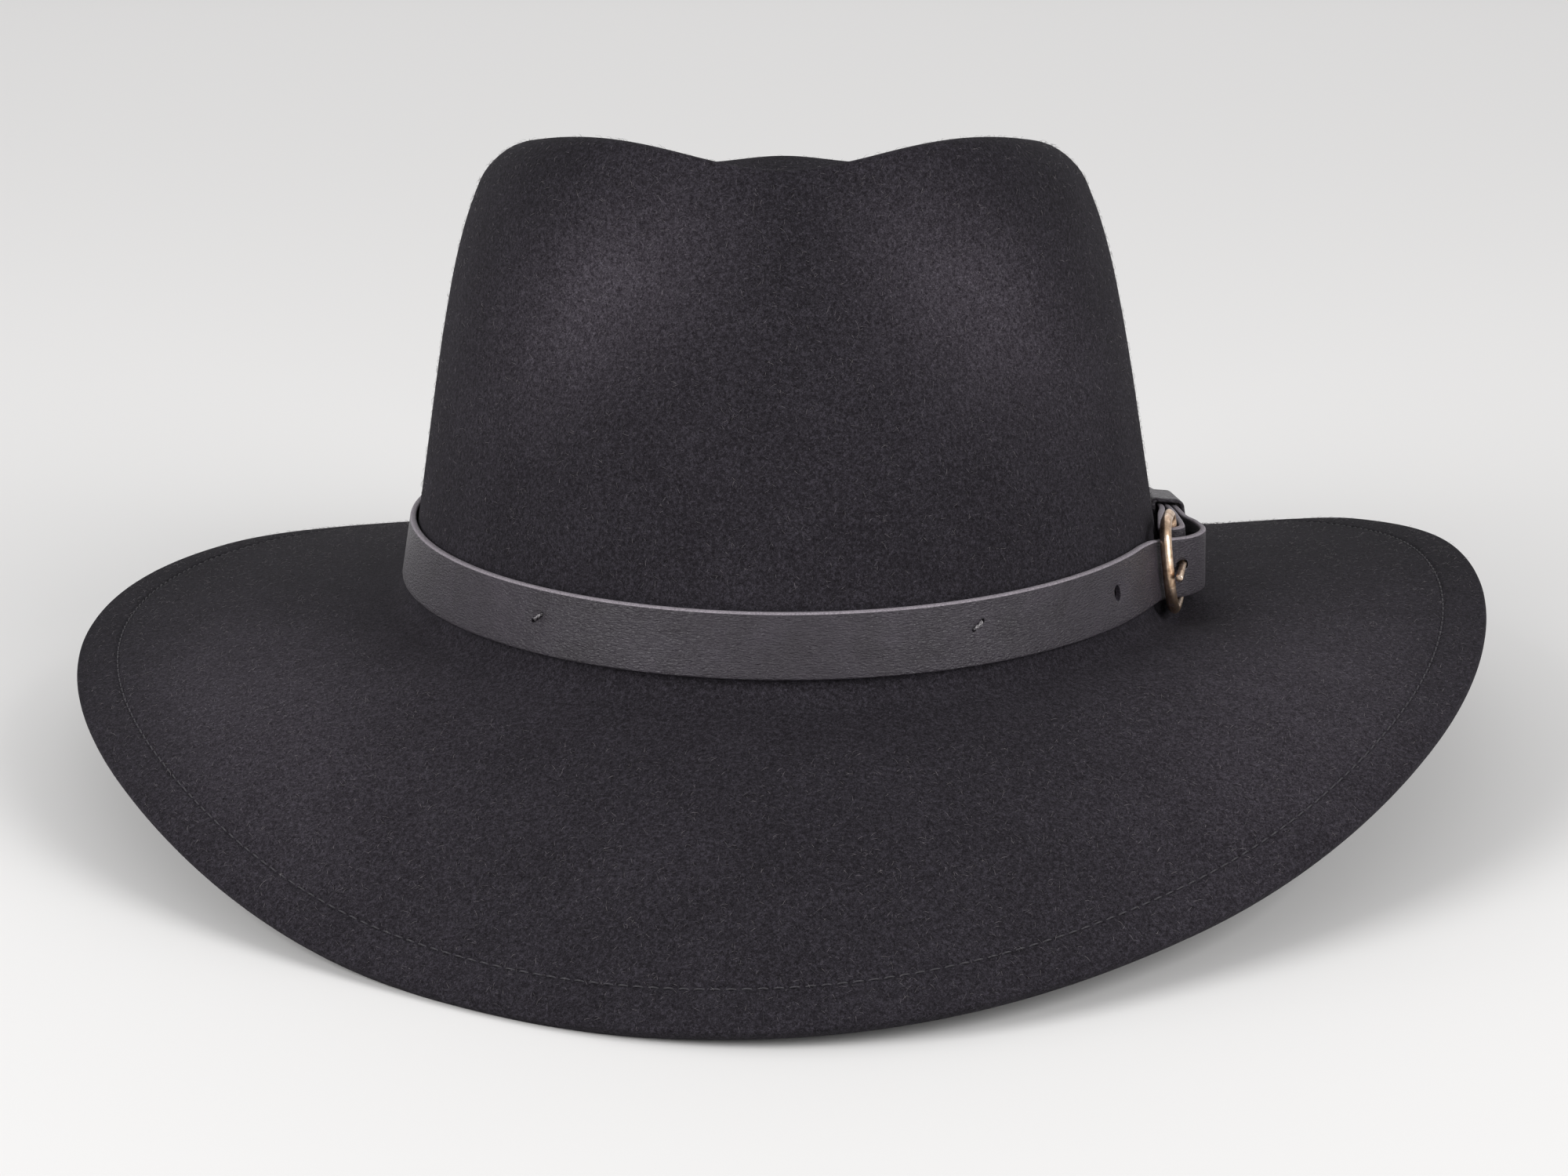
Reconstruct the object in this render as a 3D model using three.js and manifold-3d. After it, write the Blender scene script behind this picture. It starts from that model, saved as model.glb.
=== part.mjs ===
import * as THREE from 'three';
import Module from 'manifold-3d';
import { mergeVertices } from 'three/addons/utils/BufferGeometryUtils.js';

// A felt hat with a leather band, in millimetres, +Z up.
// It is drawn in the hat's own frame: the wearer faces -Y and z = 0 is the foot of the crown.
// At the end it is pitched back until it lies on the rim of its brim.

// The felt: one shell, crown and brim blocked from a single hood
const FELT = 2.0;
const HEM_WIDTH = 9.5;
const HEM_THICKNESS = 3.8;
const AZIMUTHS = 64;
const CROWN_STEPS = 17;
const BREAK_STEPS = 3;
const BRIM_STEPS = 7;

// The foot of the crown, a head oval that dips a little at the front, the back and the buckle
const FOOT_HALF_WIDTH = 86.6;
const FOOT_HALF_LENGTH = 104.2;
const FOOT_DIP = 2.0;
const SAG = 1.0;
const SAG_AZIMUTH = 88;
const SAG_SPREAD = 22;

// The top of the crown slopes down to the back, is pinched low at the front and crested at the back
const TOP_AT_SIDES = 96.4;
const TOP_SLOPE = 0.13;
const FRONT_DIP = 8.3;
const FRONT_DIP_SPREAD = 28;
const BACK_FALL = 2.0;
const BACK_FALL_SPREAD = 60;
const BACK_CREST = 2.6;
const BACK_CREST_SPREAD = 16;
const CROWN_LEAN = -0.9;

// The crown's wall from its foot to the ridge, each oval at a share of the ridge's height
const CROWN_WALL = [
  { rise: 0.02, halfWidth: 86.2, halfLength: 103.9, back: 0.0 },
  { rise: 0.13, halfWidth: 84.4, halfLength: 102.3, back: 0.1 },
  { rise: 0.30, halfWidth: 81.8, halfLength: 99.6, back: 0.4 },
  { rise: 0.47, halfWidth: 79.2, halfLength: 97.0, back: 0.7 },
  { rise: 0.62, halfWidth: 76.6, halfLength: 94.4, back: 0.9 },
  { rise: 0.76, halfWidth: 73.6, halfLength: 91.6, back: 1.0 },
  { rise: 0.87, halfWidth: 70.2, halfLength: 88.8, back: 1.0 },
  { rise: 0.95, halfWidth: 66.3, halfLength: 86.2, back: 0.6 },
];

// From the ridge into the hollow of the top, each oval at a drop below the sloping top
const CROWN_TOP = [
  { drop: 0.0, halfWidth: 59.2, halfLength: 82.4, dip: 1.0 },
  { drop: 1.6, halfWidth: 50.0, halfLength: 76.0, dip: 0.9 },
  { drop: 6.0, halfWidth: 42.0, halfLength: 67.0, dip: 0.6 },
  { drop: 12.0, halfWidth: 33.0, halfLength: 55.0, dip: 0.25 },
  { drop: 17.0, halfWidth: 21.0, halfLength: 37.0, dip: 0.0 },
  { drop: 19.5, halfWidth: 9.0, halfLength: 16.0, dip: 0.0 },
];
const TOP_CENTRE_DROP = 20.0;

// Two pinches in the front of the crown, long hollows that run down and outward
const PINCH_DEPTH = 6.0;
const PINCH_AZIMUTH = 31;
const PINCH_RISE = 0.7;
const PINCH_LENGTH = 24;
const PINCH_BREADTH = 12;
const DEGREES_PER_RISE = 75;
const PINCH_TURN = 40;

// The brim, every 30 degrees from the front toward +X: its slope leaving the crown and at the rim
const BREAK_DEPTH = 4.0;
const BREAK_OUT = 6.0;
const BRIM = [
  { width: 85.2, slopeAtCrown: 21.6, slopeAtRim: 43.2 },
  { width: 74.5, slopeAtCrown: 17.6, slopeAtRim: 41.6 },
  { width: 70.2, slopeAtCrown: 4.2, slopeAtRim: 19.2 },
  { width: 73.0, slopeAtCrown: -1.9, slopeAtRim: -2.1 },
  { width: 79.7, slopeAtCrown: 5.4, slopeAtRim: -2.7 },
  { width: 78.5, slopeAtCrown: 11.0, slopeAtRim: 16.0 },
  { width: 78.0, slopeAtCrown: 9.0, slopeAtRim: 18.0 },
  { width: 78.0, slopeAtCrown: 9.1, slopeAtRim: 13.1 },
  { width: 77.4, slopeAtCrown: 7.6, slopeAtRim: 5.6 },
  { width: 76.8, slopeAtCrown: 6.3, slopeAtRim: 12.4 },
  { width: 75.8, slopeAtCrown: 12.0, slopeAtRim: 27.1 },
  { width: 80.5, slopeAtCrown: 24.3, slopeAtRim: 44.4 },
];

// The lie of the hat: pitched back onto its rim, which flattens a little where it rests
const PITCH = 4.5;
const FLATTENED = 1.0;
const FLOOR_SIZE = 600;
const FLOOR_DEPTH = 20;

// The band: one strap round the crown, folded round the buckle's heel, its tip under a keeper
const GAP = 0.3;
const STRAP_WIDTH = 13.6;
const STRAP_THICKNESS = 1.4;
const STRAP_FOOT = 0.4;
const STRAP_OFF_FELT = 0.55;
const STRAP_STEPS = 190;
const WALL_START = 115;
const WALL_END = 425;
const WALL_STEP = 5;
const FOLD_STEP = 22.5;
const TIP_AZIMUTH = 121;
const TIP_LENGTH = 7;
const TIP_BLUNTNESS = 0.96;
const TIP_SETTLE = 9;
const TIP_OFF = 1.4;

// The keeper: a flat loop that holds three layers of the strap
const KEEPER_THICKNESS = 1.0;
const KEEPER_LENGTH = 12.0;
const KEEPER_AZIMUTH = 97.2;
const KEEPER_LEAN = 8.5;
const KEEPER_OFF_FELT = 0.75;
const KEEPER_DROP = 0.5;
const KEEPER_SLOPE = 0.25;
const KEEPER_EASE = 0.3;
const KEEPER_CORNER = 1.6;
const STRAP_STRAIGHT = 0.8;

// The buckle: a cast ring frame whose far side is the heel, with a wire prong
const FRAME_HEIGHT = 22.4;
const FRAME_LENGTH = 19.6;
const NEAR_SQUARENESS = 2.6;
const HEEL_SQUARENESS = 9;
const FRAME_WIRE = 2.6;
const FRAME_STEPS = 36;
const FRAME_TURN = 10.5;
const FRAME_LEAN = 7.0;
const HEEL_AZIMUTH = 78.7;
const FOLD_GAP = 0.35;
const HEEL_OFF_FELT = 0.75;
const PRONG_WIRE = 1.6;
const PRONG_REACH = 2.4;
const PRONG_STEPS = 22;
const PRONG_HOOK = 190;
const PRONG_HOOK_STEPS = 5;
const PRONG_LENGTH = 19.8;
const PRONG_SHANK = [0.35, 0.7, 1.0];
const PRONG_LIFT = 0.1;
const PRONG_DROOP = 1.4;
const WIRE_SIDES = 8;

// Between the heel and the keeper the two legs of the fold close on each other
const BETWEEN_AZIMUTH = 86.5;
const BETWEEN_OFF = 1.7;

// The strap's free end rises through the buckle and over its heel, measured from the heel
const BILLET_RISE = [
  { along: -18.5, out: -3.0, drop: -0.2, lean: 8 },
  { along: -16.0, out: -2.7, drop: 0.2, lean: 7 },
  { along: -13.2, out: -1.5, drop: 0.5, lean: 5 },
  { along: -10.0, out: 0.8, drop: 0.7, lean: 3 },
  { along: -7.0, out: 3.1, drop: 0.9, lean: 1 },
  { along: -3.5, out: 5.0, drop: 0.9, lean: 0 },
  { along: 0.0, out: 6.0, drop: 0.8, lean: 0 },
  { along: 4.0, out: 6.1, drop: 0.8, lean: 1 },
  { along: 8.5, out: 5.2, drop: 0.9, lean: 3 },
  { along: 13.5, out: 3.8, drop: 1.1, lean: 4 },
  { along: 20.0, out: 1.6, drop: 1.4, lean: 7 },
];

// The holes in the strap: one spare, one that the prong fills, and the slot at the heel
const HOLE_DIAMETER = 2.6;
const HOLE_SIDES = 12;
const PUNCH_LENGTH = 4.2;
const SPARE_HOLE_AZIMUTH = 54.5;
const SLOT_HEIGHT = 2.6;
const SLOT_LENGTH = 7.6;
const SLOT_DEPTH = 7.2;
const PRONG_HOLE_HEIGHT = 2.8;
const PRONG_HOLE_LENGTH = 7.2;
const PRONG_HOLE_DEPTH = 6.8;
const PRONG_HOLE_PLACE = 7.8;

// The felt gives a little under the foot of the buckle
const BRIM_DENT = 2.6;
const BRIM_DENT_SPREAD = 11;

const wasm = await Module();
wasm.setup();
const radians = THREE.MathUtils.degToRad;
const layerPitch = STRAP_THICKNESS + GAP;
const firstLayer = STRAP_OFF_FELT + STRAP_THICKNESS / 2;

// Closed solids from points and faces, turned so that their faces point out
function solid(points, faces) {
  const positions = new Float32Array(points.length * 3);
  points.forEach((p, i) => p.toArray(positions, i * 3));
  let volume = 0;
  for (const [a, b, c] of faces) {
    volume += points[a].dot(new THREE.Vector3().crossVectors(points[b], points[c]));
  }
  const outward = volume > 0 ? faces : faces.map(([a, b, c]) => [a, c, b]);
  const geometry = new THREE.BufferGeometry();
  geometry.setAttribute('position', new THREE.BufferAttribute(positions, 3));
  geometry.setIndex(outward.flat());
  return geometry;
}

function quad(a, b, c, d) {
  return [[a, b, c], [a, c, d]];
}

// Cutters and cuts: a box or a round punch set with its depth along a direction
function placed(geometry, at, along, out) {
  const up = new THREE.Vector3().crossVectors(along, out).normalize();
  const basis = new THREE.Matrix4().makeBasis(along, out, up).setPosition(at);
  return geometry.applyMatrix4(basis);
}

function cut(geometry, cutters) {
  let body = manifoldOf(geometry);
  for (const cutter of cutters) {
    body = body.subtract(manifoldOf(cutter));
  }
  const mesh = body.getMesh();
  const result = new THREE.BufferGeometry();
  result.setAttribute('position', new THREE.BufferAttribute(mesh.vertProperties, 3));
  result.setIndex(Array.from(mesh.triVerts));
  return result;
}

function manifoldOf(geometry) {
  const bare = geometry.clone();
  bare.deleteAttribute('normal');
  bare.deleteAttribute('uv');
  const merged = mergeVertices(bare);
  return new wasm.Manifold(new wasm.Mesh({
    numProp: 3,
    vertProperties: merged.attributes.position.array,
    triVerts: Uint32Array.from(merged.index.array),
  }));
}

// Rows of points, each a closed loop, joined row to row and closed at both ends or on themselves
function loft(rows, closed) {
  const points = rows.flat();
  const around = rows[0].length;
  const faces = [];
  const spans = closed ? rows.length : rows.length - 1;
  for (let i = 0; i < spans; i += 1) {
    const here = i * around;
    const next = ((i + 1) % rows.length) * around;
    for (let k = 0; k < around; k += 1) {
      const m = (k + 1) % around;
      faces.push(...quad(here + k, here + m, next + m, next + k));
    }
  }
  if (!closed) {
    const last = (rows.length - 1) * around;
    for (let k = 1; k < around - 1; k += 1) {
      faces.push([0, k + 1, k], [last, last + k, last + k + 1]);
    }
  }
  return solid(points, faces);
}

// A smooth periodic value read from evenly spaced rows
function around(rows, column, azimuth) {
  const n = rows.length;
  const place = (((azimuth / 360) * n) % n + n) % n;
  const i = Math.floor(place);
  const f = place - i;
  const [p0, p1, p2, p3] = [-1, 0, 1, 2].map((k) => rows[(i + k + n) % n][column]);
  const bend = (2 * p0 - 5 * p1 + 4 * p2 - p3) * f * f;
  const turn = (3 * p1 - p0 - 3 * p2 + p3) * f * f * f;
  return 0.5 * (2 * p1 + (p2 - p0) * f + bend + turn);
}

function fold180(azimuth) {
  return ((azimuth + 180) % 360 + 360) % 360 - 180;
}

function footHeight(azimuth) {
  const sag = SAG * Math.exp(-((fold180(azimuth - SAG_AZIMUTH) / SAG_SPREAD) ** 2));
  return -FOOT_DIP * Math.cos(radians(azimuth)) ** 2 - sag;
}

function ridgeDip(azimuth) {
  const behind = fold180(azimuth - 180);
  const front = FRONT_DIP * Math.exp(-((fold180(azimuth) / FRONT_DIP_SPREAD) ** 2));
  const back = BACK_FALL * Math.exp(-((behind / BACK_FALL_SPREAD) ** 2));
  return front + back - BACK_CREST * Math.exp(-((behind / BACK_CREST_SPREAD) ** 2));
}

function topHeight(y) {
  return TOP_AT_SIDES - TOP_SLOPE * y;
}

function ovalPoint(azimuth, row, z) {
  const u = radians(azimuth);
  const lean = CROWN_LEAN * (z / TOP_AT_SIDES);
  const back = row.back ?? 0;
  return new THREE.Vector3(row.halfWidth * Math.sin(u) + lean, back - row.halfLength * Math.cos(u), z);
}

function ridgeHeight(azimuth) {
  const y = -CROWN_TOP[0].halfLength * Math.cos(radians(azimuth));
  return topHeight(y) - ridgeDip(azimuth);
}

// How far the pinches draw the wall in, at a share of the crown's height
function pinch(azimuth, rise) {
  const turn = radians(PINCH_TURN);
  const across = Math.abs(fold180(azimuth)) - PINCH_AZIMUTH;
  const down = (PINCH_RISE - rise) * DEGREES_PER_RISE;
  const along = across * Math.cos(turn) + down * Math.sin(turn);
  const aside = down * Math.cos(turn) - across * Math.sin(turn);
  return PINCH_DEPTH * Math.exp(-((along / PINCH_LENGTH) ** 2) - (aside / PINCH_BREADTH) ** 2);
}

function wallPoint(azimuth, row) {
  const foot = footHeight(azimuth);
  const z = foot + row.rise * (ridgeHeight(azimuth) - foot);
  const point = ovalPoint(azimuth, row, z);
  return point.addScaledVector(outwardAt(azimuth), -pinch(azimuth, row.rise));
}

function topPoint(azimuth, row) {
  const y = -row.halfLength * Math.cos(radians(azimuth));
  return ovalPoint(azimuth, row, topHeight(y) - row.drop - row.dip * ridgeDip(azimuth));
}

// The level direction straight out from the head oval
function outwardAt(azimuth) {
  const u = radians(azimuth);
  const x = Math.sin(u) / FOOT_HALF_WIDTH;
  const y = -Math.cos(u) / FOOT_HALF_LENGTH;
  return new THREE.Vector3(x, y, 0).normalize();
}

function crownCurve(azimuth) {
  const centre = new THREE.Vector3(CROWN_LEAN, 0, TOP_AT_SIDES - TOP_CENTRE_DROP);
  const top = CROWN_TOP.map((row) => topPoint(azimuth, row)).reverse();
  const wall = CROWN_WALL.map((row) => wallPoint(azimuth, row)).reverse();
  return new THREE.CatmullRomCurve3([centre, ...top, ...wall], false, 'centripetal');
}

// The soft break between crown and brim, bent round the corner where the two would meet
function breakCurve(azimuth) {
  const foot = footHeight(azimuth);
  const out = outwardAt(azimuth);
  const slope = radians(around(BRIM, 'slopeAtCrown', azimuth));
  const start = wallPoint(azimuth, CROWN_WALL[0]);
  const corner = ovalPoint(azimuth, { halfWidth: FOOT_HALF_WIDTH, halfLength: FOOT_HALF_LENGTH }, foot);
  corner.z = foot - BREAK_DEPTH;
  const end = corner.clone().addScaledVector(out, BREAK_OUT * Math.cos(slope));
  end.z -= BREAK_OUT * Math.sin(slope);
  return new THREE.QuadraticBezierCurve3(start, corner, end);
}

// The brim from the break to the rim: its slope turns evenly along the width
function brimPoints(azimuth, start) {
  const out = outwardAt(azimuth);
  const width = around(BRIM, 'width', azimuth) - BREAK_OUT;
  const slopeIn = radians(around(BRIM, 'slopeAtCrown', azimuth));
  const slopeRim = radians(around(BRIM, 'slopeAtRim', azimuth));
  const stops = [];
  for (let k = 1; k <= BRIM_STEPS; k += 1) {
    stops.push((k / BRIM_STEPS) * (width - HEM_WIDTH));
  }
  stops.push(width);
  const points = [];
  const point = start.clone();
  let from = 0;
  for (const to of stops) {
    const slope = slopeIn + (slopeRim - slopeIn) * ((from + to) / 2 / width);
    point.addScaledVector(out, (to - from) * Math.cos(slope));
    point.z -= (to - from) * Math.sin(slope);
    points.push(point.clone());
    from = to;
  }
  return points;
}

// The felt's wall at a share of the strap's width, which is where the strap lies
function wallAt(azimuth, share) {
  const foot = footHeight(azimuth);
  const height = STRAP_FOOT + share * STRAP_WIDTH;
  const rise = height / (ridgeHeight(azimuth) - foot);
  const [low, high] = CROWN_WALL;
  const f = (rise - low.rise) / (high.rise - low.rise);
  const row = {
    halfWidth: THREE.MathUtils.lerp(low.halfWidth, high.halfWidth, f),
    halfLength: THREE.MathUtils.lerp(low.halfLength, high.halfLength, f),
  };
  return ovalPoint(azimuth, row, foot + height);
}

// A place beside the wall: a point, and the directions along the strap, straight out and up
function placeAt(azimuth, off, turn, lean) {
  const along = new THREE.Vector3(Math.sin(turn), Math.cos(turn), 0);
  const level = new THREE.Vector3(Math.cos(turn), -Math.sin(turn), 0);
  const at = wallAt(azimuth, 0.5).addScaledVector(level, off);
  const up = new THREE.Vector3(0, 0, Math.cos(lean)).addScaledVector(level, -Math.sin(lean));
  return { at, along, up, out: new THREE.Vector3().crossVectors(along, up) };
}

function beside(place, along, out, up) {
  const point = place.at.clone().addScaledVector(place.along, along);
  return point.addScaledVector(place.out, out).addScaledVector(place.up, up);
}

// The buckle's heel and frame, and the keeper
const foldRadius = FRAME_WIRE / 2 + FOLD_GAP + STRAP_THICKNESS / 2;
const heelOff = HEEL_OFF_FELT + STRAP_THICKNESS / 2 + foldRadius;
const heel = placeAt(HEEL_AZIMUTH, heelOff, radians(FRAME_TURN), radians(FRAME_LEAN));
const frameReach = (FRAME_LENGTH - FRAME_WIRE) / 2;
const frameFoot = beside(heel, -frameReach, 0, -FRAME_HEIGHT / 2);
const keeperOut = outwardAt(KEEPER_AZIMUTH);
const keeperTurn = Math.atan2(-keeperOut.y, keeperOut.x);
const keeper = placeAt(KEEPER_AZIMUTH, KEEPER_OFF_FELT, keeperTurn, radians(KEEPER_LEAN));
// the keeper hangs a little low, its outer side lowest
keeper.at.z -= KEEPER_DROP;
keeper.out.addScaledVector(keeper.up, -KEEPER_SLOPE);

function pressed(point) {
  const away = Math.hypot(point.x - frameFoot.x, point.y - frameFoot.y);
  point.z -= BRIM_DENT * Math.exp(-((away / BRIM_DENT_SPREAD) ** 2));
  return point;
}

function feltProfile(azimuth) {
  const crown = crownCurve(azimuth).getPoints(CROWN_STEPS);
  const bend = breakCurve(azimuth).getPoints(BREAK_STEPS).slice(1);
  const brim = brimPoints(azimuth, bend[BREAK_STEPS - 1]);
  return [...crown, ...bend.map(pressed), ...brim.map(pressed)];
}

// The felt is pressed flat where it would reach below the floor
function restedOnFloor(geometry) {
  const tilt = radians(PITCH);
  const normal = new THREE.Vector3(0, -Math.sin(tilt), Math.cos(tilt));
  const point = new THREE.Vector3();
  const positions = geometry.attributes.position;
  let lowest = Infinity;
  for (let i = 0; i < positions.count; i += 1) {
    lowest = Math.min(lowest, point.fromBufferAttribute(positions, i).dot(normal));
  }
  const across = new THREE.Vector3(1, 0, 0);
  const top = normal.clone().multiplyScalar(lowest + FLATTENED - FLOOR_DEPTH / 2);
  const floor = new THREE.BoxGeometry(FLOOR_SIZE, FLOOR_SIZE, FLOOR_DEPTH);
  return cut(geometry, [placed(floor, top, across, new THREE.Vector3().crossVectors(normal, across))]);
}

// The shell: an upper skin and an under skin, joined round the rim
function feltBody() {
  const upper = [];
  for (let i = 0; i < AZIMUTHS; i += 1) {
    upper.push(feltProfile((i * 360) / AZIMUTHS));
  }
  const rows = upper[0].length;
  const hemRow = rows - 2;
  const at = (i, j) => upper[(i + AZIMUTHS) % AZIMUTHS][j];
  const straightUp = new THREE.Vector3(0, 0, 1);
  const under = upper.map((profile, i) => profile.map((point, j) => {
    const side = new THREE.Vector3().subVectors(at(i + 1, j), at(i - 1, j));
    const down = new THREE.Vector3().subVectors(at(i, Math.min(j + 1, rows - 1)), at(i, Math.max(j - 1, 0)));
    const normal = new THREE.Vector3().crossVectors(down, side).normalize();
    const thickness = j > hemRow ? HEM_THICKNESS : FELT;
    return point.clone().addScaledVector(j === 0 ? straightUp : normal, -thickness);
  }));
  // the turned-under hem steps down from the brim's underside
  const hemStep = HEM_THICKNESS - FELT;
  const loops = upper.map((profile, i) => {
    const rim = profile[rows - 1];
    const underRim = under[i][rows - 1];
    const bulge = new THREE.Vector3().addVectors(rim, underRim).multiplyScalar(0.5);
    bulge.addScaledVector(outwardAt((i * 360) / AZIMUTHS), hemStep / 2);
    const turned = under[i][hemRow].clone();
    turned.addScaledVector(new THREE.Vector3().subVectors(under[i][hemRow], profile[hemRow]).normalize(), hemStep);
    turned.addScaledVector(outwardAt((i * 360) / AZIMUTHS), GAP);
    const inside = under[i].slice(1, hemRow + 1).reverse();
    return [...profile.slice(1), bulge, underRim, turned, ...inside];
  });
  const points = [upper[0][0], under[0][0], ...loops.flat()];
  const count = loops[0].length;
  const index = (i, j) => 2 + (i % AZIMUTHS) * count + j;
  const faces = [];
  for (let i = 0; i < AZIMUTHS; i += 1) {
    faces.push([0, index(i, 0), index(i + 1, 0)], [1, index(i + 1, count - 1), index(i, count - 1)]);
    for (let j = 0; j < count - 1; j += 1) {
      faces.push(...quad(index(i, j), index(i, j + 1), index(i + 1, j + 1), index(i + 1, j)));
    }
  }
  return restedOnFloor(solid(points, faces));
}

// The strap's course as its lower and upper edges, on the wall or beside a place
function onWall(azimuth, off) {
  const out = outwardAt(azimuth).multiplyScalar(off);
  return { low: wallAt(azimuth, 0).add(out), high: wallAt(azimuth, 1).add(out) };
}

function strapBy(place, along, out) {
  return { low: beside(place, along, out, -STRAP_WIDTH / 2), high: beside(place, along, out, STRAP_WIDTH / 2) };
}

function risen({ along, out, drop, lean }) {
  const upright = placeAt(HEEL_AZIMUTH, heelOff, radians(FRAME_TURN), radians(lean));
  upright.at.addScaledVector(upright.along, along);
  upright.at.z -= drop;
  upright.at.x += out * Math.cos(radians(FRAME_TURN));
  upright.at.y -= out * Math.sin(radians(FRAME_TURN));
  return strapBy(upright, 0, 0);
}

// Three layers lie in the keeper; each passes it straight
function inKeeper(layer) {
  const out = KEEPER_THICKNESS + KEEPER_EASE / 2 + GAP + STRAP_THICKNESS / 2 + layer * layerPitch;
  const reach = KEEPER_LENGTH / 2 + STRAP_STRAIGHT;
  return [-reach, 0, reach].map((along) => strapBy(keeper, along, out));
}

function bandCourse() {
  const course = [...inKeeper(1).reverse()];
  course.push(onWall(BETWEEN_AZIMUTH, BETWEEN_OFF + 2 * layerPitch));
  for (let turn = 90; turn >= -90; turn -= FOLD_STEP) {
    const along = -foldRadius * Math.cos(radians(turn));
    course.push(strapBy(heel, along, foldRadius * Math.sin(radians(turn))));
  }
  course.push(onWall(BETWEEN_AZIMUTH, BETWEEN_OFF), ...inKeeper(0));
  for (let azimuth = WALL_START; azimuth <= WALL_END; azimuth += WALL_STEP) {
    course.push(onWall(azimuth, firstLayer));
  }
  course.push(
    ...BILLET_RISE.map(risen),
    ...inKeeper(2),
    onWall(TIP_AZIMUTH - TIP_SETTLE, firstLayer + TIP_OFF * layerPitch),
    onWall(TIP_AZIMUTH, firstLayer + layerPitch),
  );
  return course;
}

// The strap as a swept strip, its free end cut round
function strapSolid() {
  const course = bandCourse();
  const low = new THREE.CatmullRomCurve3(course.map((point) => point.low), false, 'centripetal');
  const high = new THREE.CatmullRomCurve3(course.map((point) => point.high), false, 'centripetal');
  const tip = high.getPoint(1);
  const rows = [];
  for (let i = 0; i <= STRAP_STEPS; i += 1) {
    const t = i / STRAP_STEPS;
    const along = low.getTangent(t);
    const aside = new THREE.Vector3(along.y, -along.x, 0).setLength(STRAP_THICKNESS / 2);
    const bottom = low.getPoint(t);
    const top = high.getPoint(t);
    const nearTip = 1 - top.distanceTo(tip) / TIP_LENGTH;
    if (i > STRAP_STEPS / 2 && nearTip > 0) {
      const shrink = (1 - Math.sqrt(1 - TIP_BLUNTNESS * nearTip ** 2)) / 2;
      const across = new THREE.Vector3().subVectors(top, bottom).multiplyScalar(shrink);
      bottom.add(across);
      top.sub(across);
    }
    const edges = [[bottom, -1], [bottom, 1], [top, 1], [top, -1]];
    rows.push(edges.map(([edge, side]) => edge.clone().addScaledVector(aside, side)));
  }
  return loft(rows, false);
}

function hatBand() {
  const hole = outwardAt(SPARE_HOLE_AZIMUTH);
  const holeAlong = new THREE.Vector3(-hole.y, hole.x, 0);
  const holeAt = wallAt(SPARE_HOLE_AZIMUTH, 0.5).addScaledVector(hole, firstLayer);
  const punch = new THREE.CylinderGeometry(HOLE_DIAMETER / 2, HOLE_DIAMETER / 2, PUNCH_LENGTH, HOLE_SIDES);
  const slot = new THREE.BoxGeometry(SLOT_LENGTH, SLOT_DEPTH, SLOT_HEIGHT);
  const prongHole = new THREE.BoxGeometry(PRONG_HOLE_LENGTH, PRONG_HOLE_DEPTH, PRONG_HOLE_HEIGHT);
  const prongHoleAt = beside(heel, -PRONG_HOLE_PLACE, PRONG_REACH, -prongDroop(PRONG_HOLE_PLACE));
  return cut(strapSolid(), [
    placed(punch, holeAt, holeAlong, hole),
    placed(slot, heel.at, heel.along, heel.out),
    placed(prongHole, prongHoleAt, heel.along, heel.out),
  ]);
}

// A wire of even section along a path of points, given the side that each section faces
function wire(path, sides, diameter, closed) {
  const rows = path.map((point, i) => {
    const before = path[closed ? (i + path.length - 1) % path.length : Math.max(i - 1, 0)];
    const after = path[closed ? (i + 1) % path.length : Math.min(i + 1, path.length - 1)];
    const along = new THREE.Vector3().subVectors(after, before).normalize();
    const across = new THREE.Vector3().crossVectors(along, sides).normalize();
    const row = [];
    for (let k = 0; k < WIRE_SIDES; k += 1) {
      const turn = ((k + 0.5) / WIRE_SIDES) * 2 * Math.PI;
      const corner = point.clone().addScaledVector(sides, Math.cos(turn) * diameter / 2);
      row.push(corner.addScaledVector(across, Math.sin(turn) * diameter / 2));
    }
    return row;
  });
  return loft(rows, closed);
}

// A ring, squared round at its near end and straight at its heel
function buckleFrame() {
  const path = [];
  const squared = (value, power) => Math.sign(value) * Math.abs(value) ** (2 / power);
  for (let k = 0; k < FRAME_STEPS; k += 1) {
    const turn = (k / FRAME_STEPS) * 2 * Math.PI;
    const power = Math.cos(turn) > 0 ? HEEL_SQUARENESS : NEAR_SQUARENESS;
    const along = squared(Math.cos(turn), power) * frameReach - frameReach;
    const up = squared(Math.sin(turn), power) * (FRAME_HEIGHT - FRAME_WIRE) / 2;
    path.push(beside(heel, along, 0, up));
  }
  return wire(path, heel.out, FRAME_WIRE, true);
}

// The prong droops a little along its shank
function prongDroop(along) {
  return PRONG_DROOP * (along / PRONG_LENGTH);
}

// A wire hooked round the heel, its shank lying over the near end of the frame
function buckleProng() {
  const hook = (FRAME_WIRE + PRONG_WIRE) / 2 + GAP;
  const points = [];
  for (let turn = PRONG_HOOK; turn >= 0; turn -= PRONG_HOOK / PRONG_HOOK_STEPS) {
    points.push(beside(heel, hook * Math.sin(radians(turn)), hook * Math.cos(radians(turn)), 0));
  }
  for (const share of PRONG_SHANK) {
    const along = PRONG_LENGTH * share;
    points.push(beside(heel, -along, hook + PRONG_LIFT, -prongDroop(along)));
  }
  const path = new THREE.CatmullRomCurve3(points, false, 'centripetal').getPoints(PRONG_STEPS);
  return wire(path, heel.up, PRONG_WIRE, false);
}

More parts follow.
